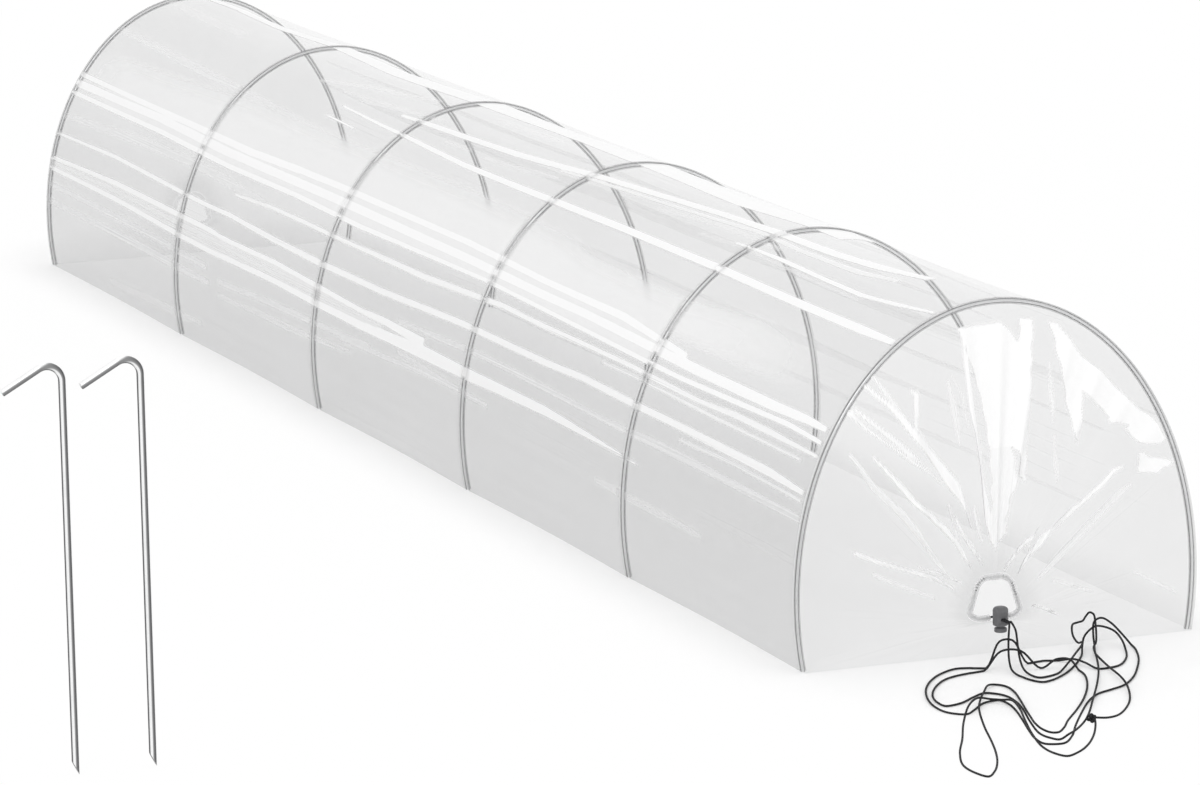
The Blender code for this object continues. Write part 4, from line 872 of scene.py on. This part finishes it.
def makeEnd(name, node, body, line, facing, brightness, depthShare, mirrored):
    # film from the end sleeve and the ground to the mouth: place = outer + (inner - outer) x share,
    # pushed out by share^1.5 and by pleats that are deepest half way
    archTurn = np.linspace(footTurn, math.pi - footTurn, end["archColumns"] + 1)
    archX, archZ = archPlace(archTurn, film["level"])
    outer = np.stack([archX, np.maximum(archZ, 0.0)], axis=1)
    ground = np.linspace(outer[-1], outer[0], end["groundColumns"] + 1)[1:-1]
    outer = np.concatenate([outer, ground])
    archPart = end["archPart"]
    place = np.concatenate([np.linspace(0.0, archPart, end["archColumns"] + 1),
                            np.linspace(archPart, 1.0, end["groundColumns"] + 1)[1:-1]])
    mouthLine = mouthOutline(hem["radius"] + hem["gap"] + film["wall"] / 2)
    inner = pointsAlong(mouthLine, ((1 - archPart) / 2 + place) % 1.0)
    share = np.linspace(0.0, 1.0, end["rows"])[:, None] ** end["spread"]
    flat = outer[None] + (inner - outer)[None] * share[..., None]
    seenX, seenZ = flat[..., 0] * (-1 if mirrored else 1), flat[..., 1]
    light = np.maximum(rayLight(seenX, seenZ), patchLight(seenX, seenZ)) * brightness
    rounded = 1 - (1 - np.minimum(1.0, share / end["corner"])) ** 2
    depth = mouth["start"] + mouth["corner"] * rounded + mouth["forward"] * share ** 1.5
    phase = 2 * np.pi * end["pleats"] * place / archPart
    second, drift, drifts, third, thirdWaves = end["uneven"]
    wave = np.cos(phase) + second * np.cos(2 * phase + drift * np.sin(drifts * place))
    wave = wave + third * np.sin(phase / 2 + thirdWaves * place)
    still = end["still"]
    onArch = easeBetween(0.0, still, place) * (1 - easeBetween(archPart - still, archPart, place))
    deep = end["onGround"] + (1 - end["onGround"]) * onArch
    fold = depthShare * end["pleat"] * np.sin(np.pi * share) ** end["power"] * wave * deep
    drift, drifts = end["gatherDrift"]
    gathers = end["gather"] * np.sin(2 * np.pi * hem["gathers"] * place + drift * np.sin(drifts * place))
    gathers = gathers * easeBetween(*end["gatherFrom"], share) * (1 - easeBetween(*end["gatherTo"], share))
    y = line + facing * (depth + fold + gathers)
    grid = np.stack([flat[..., 0], y, flat[..., 1]], axis=-1) + home
    alongRim, inwards = end["chart"]
    chart = np.stack(np.broadcast_arrays(np.append(place, 1.0)[None, :] * alongRim, share * inwards), axis=-1)
    marks = {"light": light, "dense": end["dense"] * easeBetween(end["denseFrom"], 1.0, share) + 0 * light}
    behind, up = end["heart"]
    piece = putGrid(name, grid, gatheredFilm, closed=True, chart=chart, marks=marks, wall=film["wall"],
                    heart=home + (0.0, line - facing * behind, up))
    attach(piece, body)
    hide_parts(node)
    return piece


frontFilm = makeEnd("frontFilm", "front_end_film", "tunnel_front", 0.0, -1.0, 1.0, 1.0, False)
backFilm = makeEnd("backFilm", "back_end_film", "hoop_frame_6", hoopLines[-1], 1.0, 0.0, 0.5, True)
print("stage 7: both ends are gathered")

# Hem: a rolled tube of milky film round the mouth; the drawstring shows through where the gathers part
hemFilm, tree, shader = newFinish("hemFilm", Roughness=0.30, IOR=1.46)
chart = chartOf(tree)
parting = markOf(tree, "parting")
grain = drawnNoise(tree, chart, hem["grain"], detail=3.0)
milky = easeNode(tree, grain, *hem["milky"])
feed(tree, shader, Base_Color=blendColour(tree, grain, hem["dull"], hem["pale"]),
     Alpha=times(tree, milky, easeNode(tree, parting, 0.0, 1.0, 1.0, hem["clear"])),
     Normal=bumpFrom(tree, grain, hem["relief"]))


def hemLine(line):
    # the hem's middle line, open at the bottom of the mouth by the slit
    flat = mouthOutline(0.0)
    slitShare = hem["slit"] / runLengths(flat)[-1]
    flat = pointsAlong(flat, np.linspace(slitShare, 1 - slitShare, hem["steps"] + 1))
    return np.stack([flat[:, 0], np.full(len(flat), line), flat[:, 1]], axis=1) + home


for name, node, body, line in (("frontHem", "front_hem", "tunnel_front", mouthY),
                               ("backHem", "back_hem", "hoop_frame_6", hoopLines[-1] - mouthY)):
    path = hemLine(line)
    step = np.linspace(0.0, 1.0, len(path))
    wander = sum(size * np.sin(waves * step) for size, waves in hem["wander"])
    pucker = 0.5 + 0.5 * np.sin(2 * np.pi * hem["gathers"] * step + wander)
    thick = hem["radius"] * (hem["swell"][0] + hem["swell"][1] * pucker)
    outer, inner = (sweepRings(path, radius, hem["sides"], sideways=(0.0, 1.0, 0.0))
                    for radius in (thick, hem["radius"] - hem["wall"]))
    ease = hem["partedEase"]
    parted = sum(easeBetween(low, low + ease, step) * (1 - easeBetween(high - ease, high, step))
                 for low, high in hem["parted"])
    parting = (hem["least"] + (1 - hem["least"]) * parted) * easeBetween(*hem["puckered"], pucker)
    if name == "backHem":
        parting = np.ones(len(path))
    marks = {"parting": np.repeat(parting[:, None], hem["sides"], axis=1)}
    piece = putShell(name, outer, inner, hemFilm, tubeChart(runLengths(path), hem["sides"]), marks)
    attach(piece, body)
    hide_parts(node)

# Drawstring: through the lock, round the hem's bore and back through the lock
lock = {"y": -0.03605, "radius": 0.009, "cordLift": 0.0013, "cordSpread": 0.0016, "cordOut": 0.014,
        "cordSteps": 10, "head": 0.0140, "skirt": 0.0077, "dome": 0.0045, "domeSteps": 10, "wallRings": 14,
        "ceiling": 0.002, "bore": 0.005, "hole": (0.0066, 0.0034), "holeSides": 28, "through": 0.003,
        "sides": 64, "trim": 0.0004, "axis": 0.0002, "button": 0.0074, "buttonHeight": 0.0052,
        "buttonRound": 0.0014, "neck": 0.0028, "travel": 0.0025, "stemGap": 0.0003, "stemCap": 0.0018,
        "grey": (0.125, 0.125, 0.130), "pale": (0.200, 0.200, 0.205), "grain": (1500.0, 1500.0, 1500.0),
        "rub": (160.0, 160.0, 160.0), "worn": (0.50, 0.75, 0.0, 0.4), "edges": (0.52, 0.62),
        "rough": (0.3, 0.7, 0.42, 0.56), "relief": 0.00012}
cordZ = mouth["bottom"] + lock["cordLift"]
exitY = lock["y"] - lock["radius"] - lock["cordOut"]
turnRadius = hem["slit"] - lock["cordSpread"]
quarter = np.linspace(0.0, 1.0, lock["cordSteps"])[1:]
turnIn = []
for side in (1, -1):
    turnIn.append(np.stack([mouth["offset"] + side * (hem["slit"] - turnRadius * np.sin(quarter * np.pi / 2)),
                            mouthY - turnRadius * (1 - np.cos(quarter * np.pi / 2)),
                            mouth["bottom"] + lock["cordLift"] * quarter], axis=1))
exits = [np.array([[mouth["offset"] + side * lock["cordSpread"], exitY, cordZ]]) for side in (1, -1)]
route = np.concatenate([exits[0], turnIn[0][::-1], hemLine(mouthY) - home, turnIn[1], exits[1]]) + home
forward = unit(np.gradient(route, axis=0))
toMiddle = home + (mouth["offset"], mouthY, mouth["bottom"] + mouth["height"] / 2) - route
sideOf = unit(np.cross(forward, toMiddle))
upOf = np.cross(sideOf, forward)
ringAngle = 2 * np.pi * np.arange(cord["sides"])[None, :, None] / cord["sides"]
wave = np.cos(ringAngle) * sideOf[:, None] + np.sin(ringAngle) * upOf[:, None]
rings = route[:, None] + cord["diameter"] / 2 * wave
hemCord = putGrid("hemCord", rings, blackBraid, closed=True, capped=True,
                  chart=tubeChart(runLengths(route), cord["sides"]))
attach(hemCord, "tunnel_front")
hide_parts("drawstring")
print("stage 8: hems and drawstring are in")

# Cord lock: moulded barrel with a cross-hole, spring, and a button whose stem grips the cord
lockPlastic, tree, shader = newFinish("lockPlastic", Specular_IOR_Level=0.4)
where = placeOf(tree)
grain = drawnNoise(tree, where, lock["grain"], detail=2.0)
rub = drawnNoise(tree, where, lock["rub"], detail=4.0)
edges = easeNode(tree, addNode(tree, "ShaderNodeNewGeometry").outputs["Pointiness"], *lock["edges"])
paleShare = plus(tree, edges, easeNode(tree, rub, *lock["worn"]), clamp=True)
feed(tree, shader, Base_Color=blendColour(tree, paleShare, lock["grey"], lock["pale"]),
     Roughness=easeNode(tree, rub, *lock["rough"]), Normal=bumpFrom(tree, grain, lock["relief"]))
lockPlace = home + (mouth["offset"], lock["y"], 0.0)


def turnedRings(profile):
    # rings round the lock's axis from (radius, height) points
    radius, height = np.hsplit(np.array(profile, float), 2)
    angle = 2 * np.pi * np.arange(lock["sides"]) / lock["sides"]
    rings = [radius * np.cos(angle), radius * np.sin(angle), height + 0 * angle]
    return np.stack(rings, axis=-1) + lockPlace


def cutThrough(piece, width, height, z, reach, rounded):
    # cuts a hole along Y with a rounded or square outline, then drops the cutter
    count = lock["holeSides"] if rounded else 4
    turnOf = 2 * np.pi * (np.arange(count) + 0.5) / count
    if rounded:
        x = np.sign(np.cos(turnOf)) * (width - height) / 2 + height / 2 * np.cos(turnOf)
        up = height / 2 * np.sin(turnOf)
    else:
        x, up = width / 2 * np.sign(np.cos(turnOf)), height / 2 * np.sign(np.sin(turnOf))
    rings = np.stack([np.stack([x, np.full(count, side * reach), up + z], axis=1) for side in (-1, 1)])
    cutter = putGrid("cutter", rings + lockPlace, piece.data.materials[0], closed=True, capped=True)
    hole = piece.modifiers.new("hole", "BOOLEAN")
    hole.operation, hole.solver, hole.object = "DIFFERENCE", "EXACT", cutter
    graph = bpy.context.evaluated_depsgraph_get()
    cut = bpy.data.meshes.new_from_object(piece.evaluated_get(graph))
    piece.modifiers.clear()
    piece.data = cut
    bpy.data.objects.remove(cutter)


lockTop, lockBottom = cordZ + lock["head"], cordZ - lock["skirt"]
ceilingZ = lockTop - lock["ceiling"]
bend = np.linspace(0.0, np.pi / 2, lock["domeSteps"])
domeRadius = lock["radius"] - lock["dome"] * (1 - np.sin(bend))
dome = np.stack([domeRadius, lockTop - lock["dome"] * (1 - np.cos(bend))], axis=1)
trim, axis, bore = lock["trim"], lock["axis"], lock["bore"]
wallHeights = np.linspace(lockTop - lock["dome"] - 1.5 * trim, lockBottom + 2 * trim, lock["wallRings"])
wall = np.stack([np.full(lock["wallRings"], lock["radius"]), wallHeights], axis=1)
inside = [(lock["radius"] - 2 * trim, lockBottom), (bore + trim, lockBottom), (bore, lockBottom + trim),
          (bore, ceilingZ - trim), (bore - trim, ceilingZ), (axis, ceilingZ)]
profile = np.concatenate([[(axis, lockTop)], dome, wall, inside])
barrel = putGrid("lockBarrel", turnedRings(profile), lockPlastic, closed=True, capped=True)
cutThrough(barrel, *lock["hole"], cordZ, lock["radius"] + lock["through"], True)
stemRadius = bore - lock["stemGap"]
flangeTop = lockBottom - lock["neck"]
flangeBottom = flangeTop - lock["buttonHeight"]
windowTop = cordZ + cord["diameter"] / 2 + lock["stemGap"]
windowBottom = cordZ - cord["diameter"] / 2 - lock["stemGap"] - lock["travel"]
stemTop = windowTop + lock["stemCap"]
lip = lock["buttonRound"]
roundOff = [(lock["button"] - lip + lip * math.sin(a), flangeBottom + lip - lip * math.cos(a)) for a in bend]
roundOn = [(lock["button"] - lip + lip * math.cos(a), flangeTop - lip + lip * math.sin(a)) for a in bend]
stem = [(stemRadius + trim, flangeTop), (stemRadius, flangeTop + trim), (stemRadius, stemTop - trim),
        (stemRadius - trim, stemTop), (axis, stemTop)]
profile = [(axis, flangeBottom)] + roundOff + roundOn + stem
plunger = putGrid("lockButton", turnedRings(profile), lockPlastic, closed=True, capped=True)
cutThrough(plunger, lock["hole"][0], windowTop - windowBottom, (windowTop + windowBottom) / 2,
           bore + lock["through"], False)
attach(barrel, "cord_lock")
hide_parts("cord_lock_body")
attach(plunger, "lock_plunger")
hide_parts("cord_lock_plunger")

# Spring between the barrel's ceiling and the stem: a helix of wire with closed ends
spring = {"wire": 0.0005, "radius": 0.0032, "turns": 3.0, "gap": 0.0003, "points": 121, "sides": 8,
          "even": 0.65, "dull": (0.50, 0.50, 0.52), "bright": (0.66, 0.66, 0.68),
          "oil": (900.0, 900.0, 900.0), "rough": (0.3, 0.7, 0.22, 0.36)}
springSteel, tree, shader = newFinish("springSteel", Metallic=1.0)
where = placeOf(tree)
oiled = drawnNoise(tree, where, spring["oil"], detail=2.0)
feed(tree, shader, Base_Color=blendColour(tree, oiled, spring["dull"], spring["bright"]),
     Roughness=easeNode(tree, oiled, *spring["rough"]))
lift = spring["wire"] / 2 + spring["gap"]
low, high = stemTop + lift, ceilingZ - lift
turnOf = np.linspace(0.0, 2 * np.pi * spring["turns"], spring["points"])
part = turnOf / turnOf[-1]
rise = easeBetween(0.0, 1.0, part) * (1 - spring["even"]) + part * spring["even"]
coilX, coilY = spring["radius"] * np.cos(turnOf), spring["radius"] * np.sin(turnOf)
coilLine = np.stack([coilX, coilY, low + (high - low) * rise], axis=1)
coilRings = sweepRings(coilLine + lockPlace, spring["wire"] / 2, spring["sides"])
coil = putGrid("lockSpring", coilRings, springSteel, closed=True, capped=True,
               chart=tubeChart(runLengths(coilLine), spring["sides"]))
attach(coil, "cord_lock")
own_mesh(coil)
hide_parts("cord_lock_spring")
print("stage 9: cord lock is on")

# Pegs: wire with a slanted point, a round bend and an arm that slopes down, with painted shade down its sides
# and under the bend and arm
peg = {"wire": 0.008, "height": 0.453, "bend": 0.017, "arm": 0.047, "drop": 29.0, "cut": 0.0155,
       "sides": 36, "rings": (40, 22, 6), "trim": 0.0006, "lean": (0.933, -0.358), "underShade": 0.95,
       "under": (0.40, 0.75),
       "shades": ((-1.0, -0.62, -0.42, 0.12, 0.30, 0.80, 0.95, 1.0),
                  (0.98, 0.96, 0.0, 0.0, 0.75, 0.96, 0.85, 0.50)),
       "row": -0.093, "places": (-1.133, -1.046)}
armTurn = math.radians(90.0 + peg["drop"])
armX, armZ = -math.sin(armTurn), math.cos(armTurn)
radius, trim = peg["wire"] / 2, peg["trim"]
shankRings, bendRings, armRings = peg["rings"]
for number, placeX in enumerate(peg["places"], start=1):
    bendZ = peg["height"] - radius - peg["bend"]
    shank = np.linspace(peg["cut"], bendZ, shankRings)[:-1]
    bendTurn = np.linspace(0.0, armTurn, bendRings)
    armRun = np.linspace(0.0, peg["arm"] - trim, armRings)[1:]
    x = np.concatenate([0 * shank, -peg["bend"] * (1 - np.cos(bendTurn))])
    z = np.concatenate([shank, bendZ + peg["bend"] * np.sin(bendTurn)])
    x = np.concatenate([x, x[-1] + armRun * armX])
    z = np.concatenate([z, z[-1] + armRun * armZ])
    slope = np.concatenate([0 * shank, bendTurn, armTurn + 0 * armRun])
    around = 2 * np.pi * (np.arange(peg["sides"]) + 0.5) / peg["sides"]
    crossOf, alongOf = radius * np.cos(around), radius * np.sin(around)
    rings = np.stack([x[:, None] + crossOf * np.cos(slope)[:, None], 0 * x[:, None] + alongOf,
                      z[:, None] + crossOf * np.sin(slope)[:, None]], axis=-1)
    tip = np.stack([crossOf, alongOf, peg["cut"] * (0.5 - crossOf / peg["wire"])], axis=1)
    tip[:, 2] -= tip[:, 2].min()
    shrunk = (radius - trim) / radius
    armEnd = np.stack([x[-1] + trim * armX + shrunk * crossOf * armZ, shrunk * alongOf,
                       z[-1] + trim * armZ - shrunk * crossOf * armX], axis=1)
    rings = np.concatenate([tip[None], rings, armEnd[None]]) + home + (placeX, peg["row"], 0.0)
    run = runLengths(rings.mean(axis=1))
    # painted shade: shades darkens the wire's two sides as seen along lean, and under darkens the underside
    # of the bend and arm
    slopes = np.concatenate([[0.0], slope, [armTurn]])[:, None]
    turned = np.cos(around) * np.cos(slopes) * peg["lean"][0] + np.sin(around) * peg["lean"][1]
    under = easeBetween(*peg["under"], -np.cos(around) * np.sin(slopes))
    shade = np.maximum(np.interp(turned, *peg["shades"]), peg["underShade"] * under)
    piece = putGrid("peg%d" % number, rings, zincWire, closed=True, capped=True,
                    chart=tubeChart(run, peg["sides"]), marks={"shade": shade})
    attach(piece, "peg_%d" % number)
    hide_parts("peg_%d" % number)
print("stage 10: pegs stand")

# Studio: a pale floor and white surroundings that the camera and gloss see at full white, and soft lamps.
# white is how strongly the floor glows by itself: beside the tunnel, past near and past far, both in metres
studio = {"floor": 30.0, "below": 0.0002, "floorColour": (0.98, 0.98, 0.98, 1.0), "white": (0.24, 0.95, 1.0),
          "near": (0.25, 0.35), "far": (0.35, 3.0), "sky": 0.93, "full": (1.0, 1.0, 1.0, 1.0)}


def seenShare(tree):
    # 1 for the camera, gloss and glass, else 0
    rays = addNode(tree, "ShaderNodeLightPath").outputs
    both = most(tree, rays["Is Camera Ray"], rays["Is Glossy Ray"])
    return most(tree, both, rays["Is Transmission Ray"])


floorFinish = bpy.data.materials.new("floorFinish")
floorFinish.use_nodes = True
tree = floorFinish.node_tree
tree.nodes.clear()
matt = addNode(tree, "ShaderNodeBsdfDiffuse", {"Color": studio["floorColour"]}).outputs[0]
white = addNode(tree, "ShaderNodeEmission", {"Color": studio["full"], "Strength": 1.0}).outputs[0]
place = addNode(tree, "ShaderNodeSeparateXYZ", {0: placeOf(tree)}).outputs
middleY, halfLength = home[1] + hoopLines[-1] / 2, hoopLines[-1] / 2
beside = sums(tree, "ABSOLUTE", sums(tree, "SUBTRACT", place[0], home[0]))
beyond = sums(tree, "SUBTRACT", sums(tree, "ABSOLUTE", sums(tree, "SUBTRACT", place[1], middleY)), halfLength)
squares = [sums(tree, "POWER", side, 2.0) for side in (beside, most(tree, beyond, 0.0))]
away = sums(tree, "POWER", plus(tree, *squares), 0.5)
nearWhite, middleWhite, farWhite = studio["white"]
farStep = easeNode(tree, away, *studio["far"], 0.0, farWhite - middleWhite)
ownWhite = plus(tree, easeNode(tree, away, *studio["near"], nearWhite, middleWhite), farStep)
share = times(tree, seenShare(tree), ownWhite)
mixed = addNode(tree, "ShaderNodeMixShader", {0: share, 1: matt, 2: white}).outputs[0]
addNode(tree, "ShaderNodeOutputMaterial", {"Surface": mixed})
half, floorZ = studio["floor"], -studio["below"]
corners = [(x * half, y * half, floorZ) for x, y in ((-1, -1), (1, -1), (1, 1), (-1, 1))]
floor = putMesh("floor", corners, [(0, 1, 2, 3)], floorFinish)
floor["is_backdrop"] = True

world = bpy.data.worlds.new("studioSky")
bpy.context.scene.world = world
world.use_nodes = True
tree = world.node_tree
tree.nodes.clear()
dim, full = (addNode(tree, "ShaderNodeBackground", {"Color": studio["full"], "Strength": strength}).outputs[0]
             for strength in (studio["sky"], 1.0))
mixed = addNode(tree, "ShaderNodeMixShader", {0: seenShare(tree), 1: dim, 2: full}).outputs[0]
addNode(tree, "ShaderNodeOutputWorld", {"Surface": mixed})

# Lamps: name, place and aim from home, size and watts
lamps = (("topLamp", (0.0, 1.5, 5.2), (0.0, 1.4, 0.0), 4.5, 14.0),
         ("frontLamp", (-4.2, -5.0, 4.2), (0.0, 0.9, 0.1), 3.0, 80.0))
for name, place, target, size, watts in lamps:
    data = bpy.data.lights.new(name, "AREA")
    data.size, data.energy = size, watts
    lamp = bpy.data.objects.new(name, data)
    back = unit(np.array(place) - np.array(target))
    upright = abs(back[2]) > 0.99
    sideways = np.array((1.0, 0.0, 0.0)) if upright else unit(np.cross((0.0, 0.0, 1.0), back))
    stand(lamp, sideways, np.cross(back, sideways), back, home + place)
bpy.context.scene.cycles.transparent_max_bounces = 40
bpy.context.scene.view_settings.view_transform = "Standard"
print("stage 11: studio is lit")

seenLow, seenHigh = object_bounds()
sizes = {"solid": [list(solidLow), list(solidHigh)], "seen": [list(seenLow), list(seenHigh)]}
inMm = [[round(1000 * value, 1) for value in corner] for pair in sizes.values() for corner in pair]
print("sizes in mm, solid then seen:", inMm)
